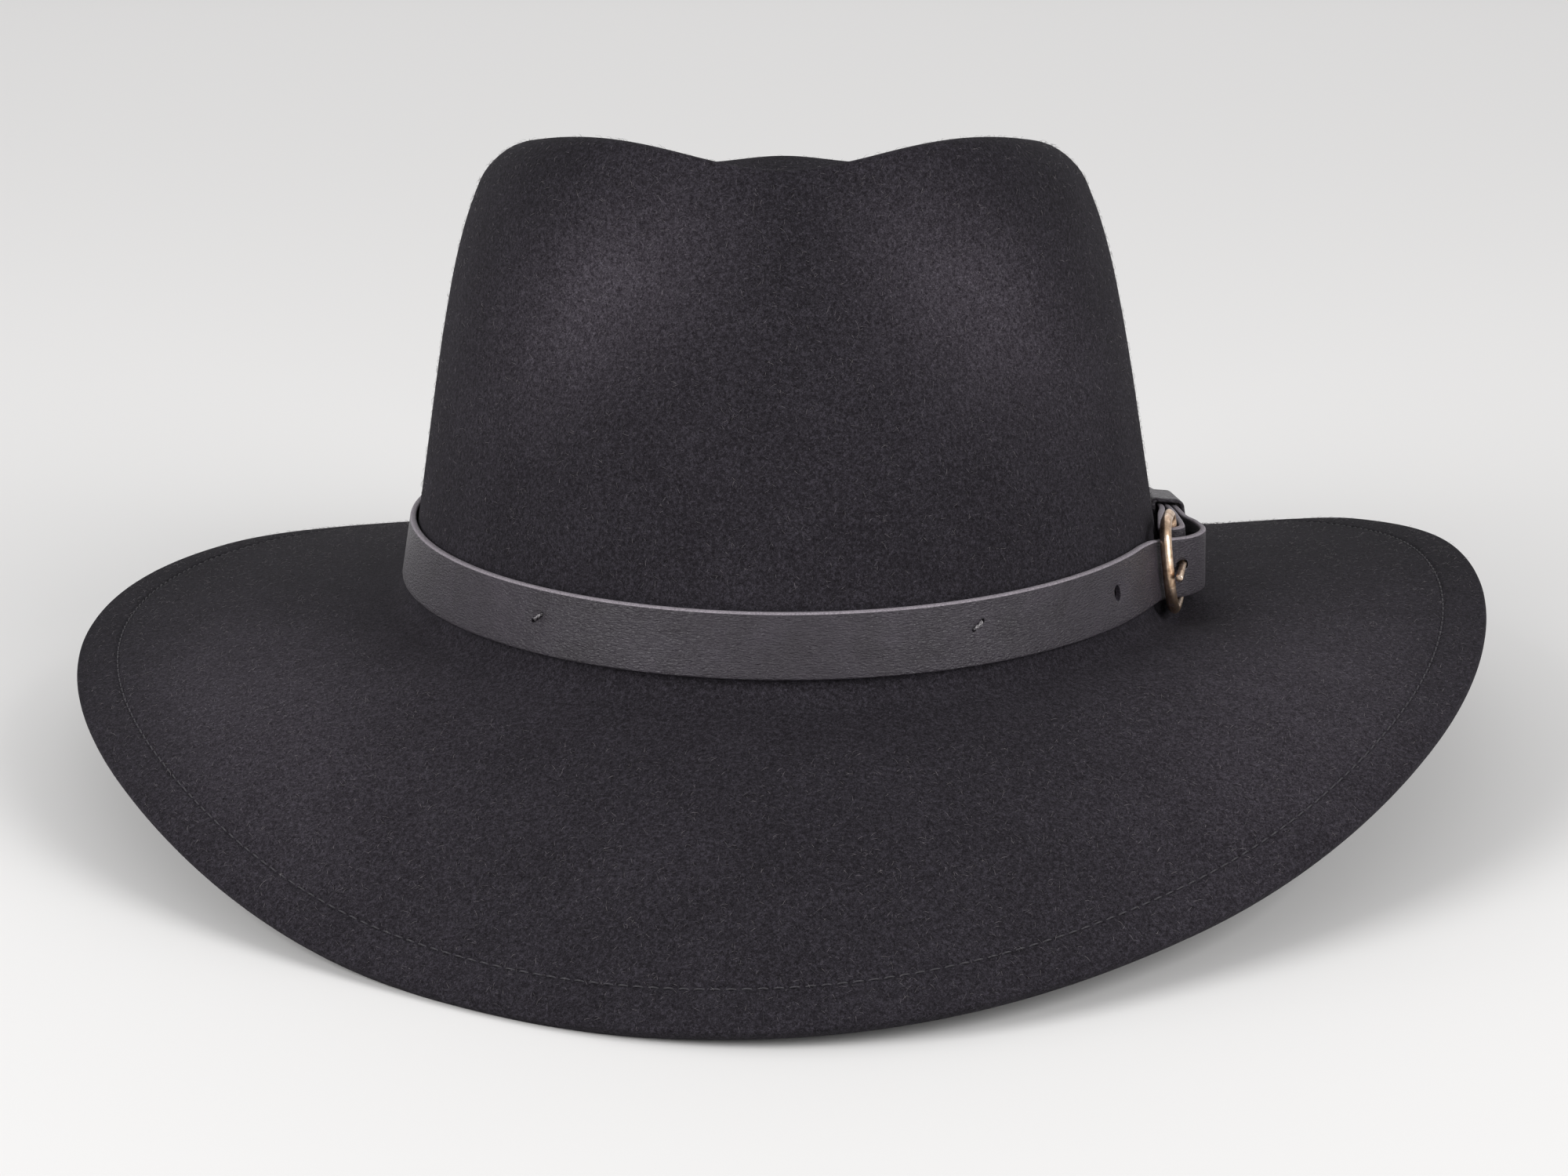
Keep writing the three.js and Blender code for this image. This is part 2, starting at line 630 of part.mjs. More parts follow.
// A flat loop of leather round the three layers of strap, its corners eased
function keeperLoop() {
  const inner = KEEPER_THICKNESS;
  const outer = inner + 3 * STRAP_THICKNESS + 4 * GAP + KEEPER_EASE;
  const tall = (STRAP_WIDTH + KEEPER_EASE + KEEPER_SLOPE * STRAP_THICKNESS) / 2 + GAP;
  const loop = (grow, end) => {
    const eased = grow > 0 ? KEEPER_CORNER : GAP;
    const corners = [[inner - grow, -1], [outer + grow, -1], [outer + grow, 1], [inner - grow, 1]];
    return corners.flatMap(([out, side], k) => {
      const inward = k === 1 || k === 2 ? -eased : eased;
      const along = (end * KEEPER_LENGTH) / 2;
      const onSide = beside(keeper, along, out, side * (tall + grow - eased));
      const onEnd = beside(keeper, along, out + inward, side * (tall + grow));
      return k % 2 === 0 ? [onSide, onEnd] : [onEnd, onSide];
    });
  };
  return loft([loop(KEEPER_THICKNESS, -1), loop(KEEPER_THICKNESS, 1), loop(0, 1), loop(0, -1)], true);
}

const felt = new THREE.MeshStandardMaterial({ color: '#343136', roughness: 0.95, metalness: 0 });
const leather = new THREE.MeshStandardMaterial({ color: '#403c40', roughness: 0.55, metalness: 0 });
const brass = new THREE.MeshStandardMaterial({ color: '#9a7d5a', roughness: 0.35, metalness: 1 });

const hat = new THREE.Group();
const subParts = [
  ['felt_body', feltBody(), felt],
  ['hat_band', hatBand(), leather],
  ['keeper_loop', keeperLoop(), leather],
  ['buckle_frame', buckleFrame(), brass],
  ['buckle_prong', buckleProng(), brass],
];
for (const [name, geometry, material] of subParts) {
  geometry.computeVertexNormals();
  const mesh = new THREE.Mesh(geometry, material.clone());
  mesh.name = name;
  hat.add(mesh);
}

// Pitched back, then set with the middle of its outline over the origin and its rim on z = 0
hat.rotation.x = -radians(PITCH);
const group = new THREE.Group();
group.add(hat);
group.updateMatrixWorld(true);
const bounds = new THREE.Box3().setFromObject(group, true);
const centre = bounds.getCenter(new THREE.Vector3());
group.children[0].position.set(-centre.x, -centre.y, -bounds.min.z);

export default group;
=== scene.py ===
from math import atan2, cos, pi, radians, sin

import bpy
import numpy as np
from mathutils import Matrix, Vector


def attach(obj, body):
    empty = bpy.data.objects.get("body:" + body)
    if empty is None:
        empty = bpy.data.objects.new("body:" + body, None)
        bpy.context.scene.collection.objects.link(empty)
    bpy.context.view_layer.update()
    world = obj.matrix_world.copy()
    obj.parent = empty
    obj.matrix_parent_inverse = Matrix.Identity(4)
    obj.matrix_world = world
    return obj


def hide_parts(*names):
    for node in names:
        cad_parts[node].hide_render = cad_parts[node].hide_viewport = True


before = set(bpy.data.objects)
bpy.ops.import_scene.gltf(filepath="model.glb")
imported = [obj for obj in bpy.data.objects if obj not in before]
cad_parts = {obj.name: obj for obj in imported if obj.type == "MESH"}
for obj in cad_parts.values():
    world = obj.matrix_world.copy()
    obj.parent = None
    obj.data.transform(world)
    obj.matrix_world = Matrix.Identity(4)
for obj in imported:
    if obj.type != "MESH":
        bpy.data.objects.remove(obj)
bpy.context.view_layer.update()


# ---------------------------------------------------------------------------
# Felt shell: crown and brim
# One hood of charcoal fur felt, 2 mm thick, blocked with a hollow in its top,
# two pinches at the front and a curved brim, whose edge is turned under 9.5 mm.
# Millimetres in the hat's own frame, then pitched back onto its rim.
# ---------------------------------------------------------------------------
felt_thickness = 2.0
hem_width = 9.5
hem_thickness = 3.8
rim_bulge = 1.0
hem_edge_round = 0.35
stitch_inset = 8.8
# the stitches pull a groove into both faces, and the turned edge puffs up beside it
groove = {"depth": 0.45, "spread": 0.55}
under_groove = {"depth": 0.3, "spread": 0.5}
puff = {"height": 0.22, "inset": 4.2, "spread": 3.0}

foot_half_width = 86.6
foot_half_length = 104.2
foot_dip = 2.0
foot_sag = {"depth": 1.0, "azimuth": 88.0, "spread": 22.0}

top_at_sides = 96.4
top_slope = 0.13
front_dip = {"depth": 8.3, "spread": 28.0}
back_fall = {"depth": 2.0, "spread": 60.0}
back_crest = {"height": 2.6, "spread": 16.0}
crown_lean = -0.9
crown_wall = {
    "rise": [0.02, 0.13, 0.30, 0.47, 0.62, 0.76, 0.87, 0.95],
    "half_width": [86.2, 84.4, 81.8, 79.2, 76.6, 73.6, 70.2, 66.3],
    "half_length": [103.9, 102.3, 99.6, 97.0, 94.4, 91.6, 88.8, 86.2],
    "back": [0.0, 0.1, 0.4, 0.7, 0.9, 1.0, 1.0, 0.6],
}
crown_top = {
    "drop": [0.0, 1.6, 6.0, 12.0, 17.0, 19.5],
    "half_width": [59.2, 50.0, 42.0, 33.0, 21.0, 9.0],
    "half_length": [82.4, 76.0, 67.0, 55.0, 37.0, 16.0],
    "dip": [1.0, 0.9, 0.6, 0.25, 0.0, 0.0],
}
top_centre_drop = 20.0
pinch = {"depth": 6.0, "azimuth": 31.0, "rise": 0.7, "length": 24.0, "breadth": 12.0}
degrees_per_rise = 75.0
pinch_turn = radians(40.0)

break_depth = 4.0
break_out = 6.0
# the brim every 30 degrees, from the front towards +X
brim = {
    "width": [85.2, 74.5, 70.2, 73.0, 79.7, 78.5, 78.0, 78.0, 77.4, 76.8, 75.8, 80.5],
    "slope_at_crown": [21.6, 17.6, 4.2, -1.9, 5.4, 11.0, 9.0, 9.1, 7.6, 6.3, 12.0, 24.3],
    "slope_at_rim": [43.2, 41.6, 19.2, -2.1, -2.7, 16.0, 18.0, 13.1, 5.6, 12.4, 27.1, 44.4],
}

hat_at = Vector((0.94, 0.92, 41.12))
hat_pitch = radians(-4.5)


def in_place(points):
    """Millimetres in the hat's own frame to metres in the row frame."""
    x, y, z = np.moveaxis(np.asarray(points, float), -1, 0)
    back = y * cos(hat_pitch) - z * sin(hat_pitch)
    up = y * sin(hat_pitch) + z * cos(hat_pitch)
    return np.stack([x + hat_at.x, back + hat_at.y, up + hat_at.z], -1) / 1000


def folded(azimuth):
    return (np.asarray(azimuth, float) + 180) % 360 - 180


def bell(value, spread):
    return np.exp(-((value / spread) ** 2))


def unit(vectors):
    return vectors / np.maximum(np.linalg.norm(vectors, axis=-1, keepdims=True), 1e-12)


def foot_height(azimuth):
    sag = foot_sag["depth"] * bell(folded(azimuth - foot_sag["azimuth"]), foot_sag["spread"])
    return -foot_dip * np.cos(np.radians(azimuth)) ** 2 - sag


def ridge_dip(azimuth):
    behind = folded(np.asarray(azimuth) - 180)
    back = back_fall["depth"] * bell(behind, back_fall["spread"])
    crest = back_crest["height"] * bell(behind, back_crest["spread"])
    return front_dip["depth"] * bell(folded(azimuth), front_dip["spread"]) + back - crest


def top_height(y):
    return top_at_sides - top_slope * y


def oval_point(azimuth, half_width, half_length, z, back=0.0):
    u = np.radians(azimuth)
    x = half_width * np.sin(u) + crown_lean * z / top_at_sides
    return np.stack([x, back - half_length * np.cos(u), z + 0 * u], -1)


def outward(azimuth):
    u = np.radians(azimuth)
    return unit(np.stack([np.sin(u) / foot_half_width, -np.cos(u) / foot_half_length, 0 * u], -1))


def ridge_height(azimuth):
    y = -crown_top["half_length"][0] * np.cos(np.radians(azimuth))
    return top_height(y) - ridge_dip(azimuth)


def pinch_depth(azimuth, rise):
    across = np.abs(folded(azimuth)) - pinch["azimuth"]
    down = (pinch["rise"] - rise) * degrees_per_rise
    along = across * cos(pinch_turn) + down * sin(pinch_turn)
    aside = down * cos(pinch_turn) - across * sin(pinch_turn)
    return pinch["depth"] * bell(along, pinch["length"]) * bell(aside, pinch["breadth"])


def wall_point(azimuth, row):
    rise = crown_wall["rise"][row]
    foot = foot_height(azimuth)
    z = foot + rise * (ridge_height(azimuth) - foot)
    sides = [crown_wall[column][row] for column in ("half_width", "half_length")]
    point = oval_point(azimuth, *sides, z, crown_wall["back"][row])
    return point - outward(azimuth) * pinch_depth(azimuth, rise)[..., None]


def top_point(azimuth, row):
    half_length = crown_top["half_length"][row]
    y = -half_length * np.cos(np.radians(azimuth))
    z = top_height(y) - crown_top["drop"][row] - crown_top["dip"][row] * ridge_dip(azimuth)
    return oval_point(azimuth, crown_top["half_width"][row], half_length, z)


def brim_value(column, azimuth):
    rows = np.array(brim[column])
    place = np.asarray(azimuth, float) / 360 * len(rows) % len(rows)
    i = np.floor(place).astype(int)
    f = place - i
    p0, p1, p2, p3 = (rows[(i + k) % len(rows)] for k in (-1, 0, 1, 2))
    bend = (2 * p0 - 5 * p1 + 4 * p2 - p3) * f**2
    turn = (3 * p1 - p0 - 3 * p2 + p3) * f**3
    return 0.5 * (2 * p1 + (p2 - p0) * f + bend + turn)


def smooth_course(points, places):
    """A centripetal spline through points, read at places that count the points from 0."""
    points = np.asarray(points, float)
    places = np.asarray(places, float)
    held = np.concatenate([2 * points[:1] - points[1:2], points, 2 * points[-1:] - points[-2:-1]])
    i = np.minimum(places.astype(int), len(points) - 2)
    w = (places - i).reshape((-1,) + (1,) * (points.ndim - 1))
    p0, p1, p2, p3 = (held[i + k] for k in range(4))
    pairs = ((p0, p1), (p1, p2), (p2, p3))
    span = [np.sqrt(np.linalg.norm(b - a, axis=-1, keepdims=True)) + 1e-9 for a, b in pairs]
    start = ((p1 - p0) / span[0] - (p2 - p0) / (span[0] + span[1]) + (p2 - p1) / span[1]) * span[1]
    end = ((p2 - p1) / span[1] - (p3 - p1) / (span[1] + span[2]) + (p3 - p2) / span[2]) * span[1]
    square = -3 * p1 + 3 * p2 - 2 * start - end
    cube = 2 * p1 - 2 * p2 + start + end
    return p1 + start * w + square * w**2 + cube * w**3


def place_beside_wall(azimuth, off, turn, lean):
    """A point off the wall, and the directions along the strap, straight out and up."""
    along = np.array([sin(turn), cos(turn), 0])
    level = np.array([cos(turn), -sin(turn), 0])
    up = np.array([0, 0, cos(lean)]) - sin(lean) * level
    return {"at": wall_at(azimuth, 0.5) + off * level, "along": along, "up": up, "out": np.cross(along, up)}


def beside(place, along, out, up):
    return place["at"] + along * place["along"] + out * place["out"] + up * place["up"]


strap_width = 13.6
strap_foot = 0.4


def wall_at(azimuth, share):
    """The felt's wall at a share of the strap's width, which is where the strap lies."""
    azimuth = np.asarray(azimuth, float)
    foot = foot_height(azimuth)
    height = strap_foot + share * strap_width
    low, high = crown_wall["rise"][:2]
    f = (height / (ridge_height(azimuth) - foot) - low) / (high - low)
    rows = [crown_wall[column][:2] for column in ("half_width", "half_length")]
    sides = [lower + (upper - lower) * f for lower, upper in rows]
    return oval_point(azimuth, *sides, foot + height)


frame_wire = 2.6
frame_height = 22.4
frame_length = 19.6
frame_turn = radians(10.5)
frame_lean = radians(7.0)
heel_azimuth = 78.7
heel_off_felt = 0.75
fold_ease = 0.35
strap_thickness = 1.4
fold_radius = frame_wire / 2 + fold_ease + strap_thickness / 2
heel_off = heel_off_felt + strap_thickness / 2 + fold_radius
heel = place_beside_wall(heel_azimuth, heel_off, frame_turn, frame_lean)
frame_reach = (frame_length - frame_wire) / 2
frame_foot = beside(heel, -frame_reach, 0, -frame_height / 2)
brim_dent = {"depth": 2.6, "spread": 11.0}


def pressed(points):
    """The brim gives a little under the foot of the buckle."""
    away = np.hypot(points[..., 0] - frame_foot[0], points[..., 1] - frame_foot[1])
    points[..., 2] -= brim_dent["depth"] * bell(away, brim_dent["spread"])
    return points


# rows of the hem by their distance from the rim, closest together at the groove
from_rim = np.array([11.0, 10.2, 9.7, 9.3, 9.05, 8.8, 8.55, 8.3, 7.9, 7.3, 6.4, 5.0, 3.4, 2.0, 1.0, 0.4, 0.0])
crown_rows_per_span = 5
break_rows = 10
brim_spans = 36
rim_rows = 8
felt_columns = 352


def felt_profile(azimuth):
    """Rows of the felt's upper skin from the middle of the top to the rim."""
    centre = np.array([crown_lean, 0, top_at_sides - top_centre_drop]) + np.zeros((len(azimuth), 3))
    ovals = [top_point(azimuth, row) for row in reversed(range(len(crown_top["drop"])))]
    ovals += [wall_point(azimuth, row) for row in reversed(range(len(crown_wall["rise"])))]
    control = np.array([centre, *ovals])
    spans = len(control) - 1
    crown = smooth_course(control, np.linspace(0, spans, spans * crown_rows_per_span + 1))

    # the middle of the hollow is an even dish on the slope of the top
    dished = 2 * crown_rows_per_span
    reach = np.linalg.norm((crown - crown[0])[..., :2], axis=-1)
    tilt = -top_slope * crown[..., 1]
    rim_rise = crown[dished, :, 2] - tilt[dished] - crown[0, :, 2]
    dish = rim_rise * (reach[:dished] / reach[dished]) ** 2
    crown[:dished, :, 2] = crown[0, :, 2] + tilt[:dished] + dish

    out = outward(azimuth)
    slope = np.radians(brim_value("slope_at_crown", azimuth))
    foot = foot_height(azimuth)
    corner = oval_point(azimuth, foot_half_width, foot_half_length, foot)
    corner[:, 2] = foot - break_depth
    leave = corner + out * (break_out * np.cos(slope))[:, None]
    leave[:, 2] -= break_out * np.sin(slope)
    t = np.linspace(0, 1, break_rows + 1)[1:, None, None]
    bend = (1 - t) ** 2 * crown[-1] + 2 * t * (1 - t) * corner + t**2 * leave

    width = brim_value("width", azimuth) - break_out
    slope_rim = np.radians(brim_value("slope_at_rim", azimuth))
    stops = [width * 0]
    stops += [(width - from_rim[0]) * k / brim_spans for k in range(1, brim_spans)]
    stops += [width - inset for inset in from_rim]
    rows = []
    point = leave.copy()
    for start, stop in zip(stops, stops[1:]):
        middle = slope + (slope_rim - slope) * (start + stop) / 2 / width
        point = point + out * ((stop - start) * np.cos(middle))[:, None]
        point[:, 2] -= (stop - start) * np.sin(middle)
        rows.append(point)
    return np.concatenate([crown, pressed(bend), pressed(np.array(rows))])


def skin_normals(grid):
    side = np.roll(grid, -1, 1) - np.roll(grid, 1, 1)
    down = np.gradient(grid, axis=0)
    return unit(np.cross(down, side))


def turn_outward(mesh):
    """Flips a closed mesh whose faces point in."""
    mesh.update()
    mesh.calc_loop_triangles()
    co = np.empty(len(mesh.vertices) * 3, np.float32)
    mesh.vertices.foreach_get("co", co)
    corners = np.empty(len(mesh.loop_triangles) * 3, np.int32)
    mesh.loop_triangles.foreach_get("vertices", corners)
    a, b, c = np.moveaxis(co.reshape(-1, 3)[corners.reshape(-1, 3)].astype(float), 1, 0)
    if (a * np.cross(b, c)).sum() < 0:
        mesh.flip_normals()


def add_piece(name, points, faces, materials):
    """A smooth closed piece, from millimetres in the hat's own frame."""
    mesh = bpy.data.meshes.new(name)
    mesh.from_pydata(in_place(points).tolist(), [], faces)
    turn_outward(mesh)
    mesh.shade_smooth()
    for material in materials:
        mesh.materials.append(material)
    piece = bpy.data.objects.new(name, mesh)
    bpy.context.scene.collection.objects.link(piece)
    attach(piece, "root")
    return piece


def ring_faces(rows, count):
    """Quads between closed rings of count points."""
    k = np.arange(count)
    here = (np.arange(rows - 1) * count)[:, None]
    corners = [here + k, here + (k + 1) % count, here + count + (k + 1) % count, here + count + k]
    return np.stack(corners, -1).reshape(-1, 4)


def tube_faces(rows, count, joined=False, first=0):
    """Faces of a tube of closed rings, whose ends are joined to each other or capped."""
    last = (rows - 1) * count
    faces = ring_faces(rows, count).tolist()
    if joined:
        faces += [[last + k, last + (k + 1) % count, (k + 1) % count, k] for k in range(count)]
    else:
        faces += [list(range(count))[::-1], list(range(last, last + count))]
    return [[first + corner for corner in face] for face in faces]


def felt_shell():
    """The felt's points and faces, and its upper skin with the directions out of it."""
    azimuth = np.arange(felt_columns) * 360 / felt_columns
    upper = felt_profile(azimuth)
    normal = skin_normals(upper)
    normal[0] = (0, 0, 1)
    first_hem = len(upper) - len(from_rim)
    hem_normal = normal[first_hem:]
    under = upper - normal * felt_thickness
    turned = upper[first_hem:] - hem_normal * hem_thickness
    under_sunk = under_groove["depth"] * bell(from_rim - stitch_inset, under_groove["spread"])
    turned += hem_normal * under_sunk[:, None, None]
    sunk = groove["depth"] * bell(from_rim - stitch_inset, groove["spread"])
    puffed = puff["height"] * bell(from_rim - puff["inset"], puff["spread"])
    upper[first_hem:] += hem_normal * (puffed - sunk)[:, None, None]

    out = outward(azimuth)
    t = np.linspace(0, pi, rim_rows + 2)[1:-1, None, None]
    middle = (upper[-1] + turned[-1]) / 2
    half = (upper[-1] - turned[-1]) / 2
    rim = middle + half * np.cos(t) + out * rim_bulge * np.sin(t)
    hem_row = int(np.argmin(np.abs(from_rim - hem_width)))
    hem_end = turned[hem_row:][::-1]
    edge = (turned[hem_row] + under[first_hem + hem_row]) / 2 - out * hem_edge_round
    inside = under[1 : first_hem + hem_row + 1][::-1]
    rows = np.concatenate([upper[1:], rim, hem_end, edge[None], inside])

    count = len(azimuth)
    points = np.concatenate([rows.reshape(-1, 3), upper[0, :1], under[0, :1]])
    faces = ring_faces(len(rows), count)[:, ::-1].tolist()
    top, bottom, last = len(points) - 2, len(points) - 1, (len(rows) - 1) * count
    for k in range(count):
        faces.append((top, k, (k + 1) % count))
        faces.append((bottom, last + (k + 1) % count, last + k))
    return points, faces, upper, normal


def linear(hex_colour):
    """An sRGB hex colour as linear RGBA."""
    values = [int(hex_colour[i : i + 2], 16) / 255 for i in (1, 3, 5)]
    return [*(v / 12.92 if v <= 0.04045 else ((v + 0.055) / 1.055) ** 2.4 for v in values), 1.0]


def new_material(name):
    material = bpy.data.materials.new(name)
    material.use_nodes = True
    return material, material.node_tree.nodes["Principled BSDF"]


def add_node(material, kind, settings=None, **links):
    """A node with its settings; each link gives an input a value or another node's output."""
    node = material.node_tree.nodes.new(kind)
    for name, value in (settings or {}).items():
        setattr(node, name, value)
    for name, value in links.items():
        socket = node.inputs[int(name[1:]) if name[0] == "_" else name.replace("_", " ")]
        if isinstance(value, bpy.types.NodeSocket):
            material.node_tree.links.new(value, socket)
        else:
            socket.default_value = value
    return node


def link(material, output, socket):
    material.node_tree.links.new(output, socket)


def grain(millimetres):
    """A texture scale whose marks are so many millimetres apart."""
    return 1000.0 / millimetres


def own_place(material):
    """Each point's place in metres on the piece."""
    return add_node(material, "ShaderNodeTexCoord").outputs["Object"]


def noise(material, place, millimetres, **links):
    scale = grain(millimetres)
    return add_node(material, "ShaderNodeTexNoise", Vector=place, Scale=scale, **links).outputs["Fac"]


def weighed(material, value, weight, rest=0.0):
    """A texture times its weight, plus the rest."""
    settings = {"operation": "MULTIPLY_ADD"}
    return add_node(material, "ShaderNodeMath", settings, _0=value, _1=weight, _2=rest).outputs[0]


def ranged(material, value, low, high):
    """The middle part of a texture, 0.3 to 0.7, spread from low to high."""
    ends = {"From_Min": 0.3, "From_Max": 0.7, "To_Min": low, "To_Max": high}
    return add_node(material, "ShaderNodeMapRange", Value=value, **ends).outputs[0]


def relief(material, height, strength, millimetres, **links):
    """A texture as bumps of so many millimetres."""
    size = {"Strength": strength, "Distance": millimetres / 1000}
    return add_node(material, "ShaderNodeBump", Height=height, **size, **links).outputs[0]


def ramp(material, factor, stops):
    """A colour ramp: stops are (place, sRGB hex colour)."""
    node = add_node(material, "ShaderNodeValToRGB", Fac=factor)
    elements = node.color_ramp.elements
    while len(elements) < len(stops):
        elements.new(0.5)
    for element, (place, colour) in zip(elements, stops):
        element.position = place
        element.color = linear(colour)
    return node.outputs["Color"]


# Charcoal fur felt: brushed hair packed flat, so it is matte and nearly black, and speckled by single hairs.
# A paler colour, partly raised nap and partly painted sheen, lightens the pinches and the sides of the brim;
# painted shade darkens the ridge of the top, and the felt is darker towards the rim.
felt, shader = new_material("charcoal_fur_felt")
place = own_place(felt)
tufts = noise(felt, place, 0.9, Detail=5.0, Roughness=0.7)
hairs = noise(felt, place, 0.38, Detail=3.0, Roughness=0.75, Distortion=1.2)
cloud = noise(felt, place, 17, Detail=3.0, Roughness=0.5)
mottled = weighed(felt, cloud, 0.05, weighed(felt, tufts, 0.33, weighed(felt, hairs, 0.62)))
flat_colour = ramp(felt, mottled, [(0.38, "#0d0b0e"), (0.5, "#1d1b1f"), (0.62, "#36333a")])
nap_and_sheen_colour = ramp(felt, mottled, [(0.38, "#1a161b"), (0.5, "#373339"), (0.62, "#5a555d")])
# painted sheen and shade: the felt takes the paler colour where this layer is high
nap_and_painted_light_mask = add_node(felt, "ShaderNodeAttribute", {"attribute_name": "nap_and_painted_light"}).outputs["Fac"]
felt_with_painted_light = add_node(felt, "ShaderNodeMix", {"data_type": "RGBA"}, _0=nap_and_painted_light_mask, _6=flat_colour, _7=nap_and_sheen_colour)
link(felt, felt_with_painted_light.outputs[2], shader.inputs["Base Color"])
shader.inputs["Roughness"].default_value = 0.9
shader.inputs["IOR"].default_value = 1.45
shader.inputs["Specular IOR Level"].default_value = 0.12
nap = relief(felt, tufts, 0.6, 0.4)
link(felt, relief(felt, hairs, 0.5, 0.2, Normal=nap), shader.inputs["Normal"])

points, faces, felt_skin, felt_normal = felt_shell()
shell = add_piece("felt_shell", points, faces, [felt])
lying = np.array([v.co for v in shell.data.vertices])
lying[:, 2] = np.maximum(lying[:, 2], 0)
shell.data.vertices.foreach_set("co", lying.astype(np.float32).ravel())
shell.data.update()


# how much the felt is lightened, from 0 to 1, by raised nap and painted sheen, and darkened by painted shade
# on the ridge
# and towards the rim, and where: azimuth and spread in degrees, and the distance from the middle, counted in
# reaches of the crown's foot
nap_all_over = 0.14
nap_and_sheen_in_pinch = 0.75
nap_and_sheen_on_brim = {"most": 0.5, "right": (62, 26), "left": (-66, 24), "out": (1.45, 0.3)}
darker_at_rim_and_ridge = {"most": 0.14, "rim_starts": 1.62, "rim_full": 0.25, "ridge": 0.2}
foot_ends = 1.02


def nap_and_painted_light(points):
    """Paler nap and painted sheen in the pinches and on the sides of the brim; painted shade on the ridge,
    and darker near the rim.
    """
    azimuth = np.degrees(np.arctan2(points[:, 0] / foot_half_width, -points[:, 1] / foot_half_length))
    out = np.hypot(points[:, 0] / foot_half_width, points[:, 1] / foot_half_length)
    on_brim = out > foot_ends
    on_wall = (points[:, 2] > 2) & (out < foot_ends)
    foot = foot_height(azimuth)
    rise = np.clip((points[:, 2] - foot) / (ridge_height(azimuth) - foot), 0, 1)
    in_pinch = pinch_depth(azimuth, rise - 0.02) / pinch["depth"] * on_wall
    sides = [bell(folded(azimuth - at), spread) for at, spread in (nap_and_sheen_on_brim["right"], nap_and_sheen_on_brim["left"])]
    middle, spread = nap_and_sheen_on_brim["out"]
    beside_crown = np.maximum(*sides) * bell(out - middle, spread)
    near_rim = np.clip((out - darker_at_rim_and_ridge["rim_starts"]) / darker_at_rim_and_ridge["rim_full"], 0, 1) * on_brim
    on_ridge = bell(rise - 1, darker_at_rim_and_ridge["ridge"]) * (out < foot_ends)
    # painted shade on the ridge of the top, and the felt darker towards the rim
    darkened = darker_at_rim_and_ridge["most"] * np.maximum(near_rim, on_ridge)
    # painted sheen in the pinches and on the sides of the brim, partly a paler nap
    lightened = nap_all_over + nap_and_sheen_in_pinch * in_pinch + nap_and_sheen_on_brim["most"] * beside_crown * on_brim
    return np.clip(lightened - darkened, 0, 1)


# this layer lightens the felt with painted sheen and darkens it with painted shade
nap_and_painted_light_layer = shell.data.attributes.new("nap_and_painted_light", "FLOAT", "POINT")
nap_and_painted_light_layer.data.foreach_set("value", nap_and_painted_light(points).astype(np.float32))
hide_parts("felt_body")


# ---------------------------------------------------------------------------
# Loose fibres of the felt
# Single hairs of the fur, 0.7 to 2 mm long, that stand a little off the nap
# and catch the light: fine closed tubes rooted in the felt.
# ---------------------------------------------------------------------------
fibre_radius = 0.027
fibre_taper = (1.0, 0.9, 0.4)
fibre_length = (0.7, 2.0)
fibre_lift = (0.1, 0.42)
fibre_curl = 0.25
fibre_root = 0.15
crown_fibre_count = 10500
brim_fibre_count = 13500
bare_above_strap = 2.5
bare_beside_strap = 1.16
luck = np.random.default_rng(7)

# Fur fibre: its ends take less dye, so single hairs are a pale warm grey.
fibre, shader = new_material("pale_fur_fibre")
shade = noise(fibre, own_place(fibre), 1.1, Detail=2.0)
link(fibre, ramp(fibre, shade, [(0.42, "#2c292d"), (0.62, "#7c7679")]), shader.inputs["Base Color"])
shader.inputs["Roughness"].default_value = 0.6


def ring_round(side, up, count):
    """Unit directions round each point of a course."""
    turn = np.arange(count) * 2 * pi / count
    return side[:, None] * np.cos(turn)[None, :, None] + up[:, None] * np.sin(turn)[None, :, None]


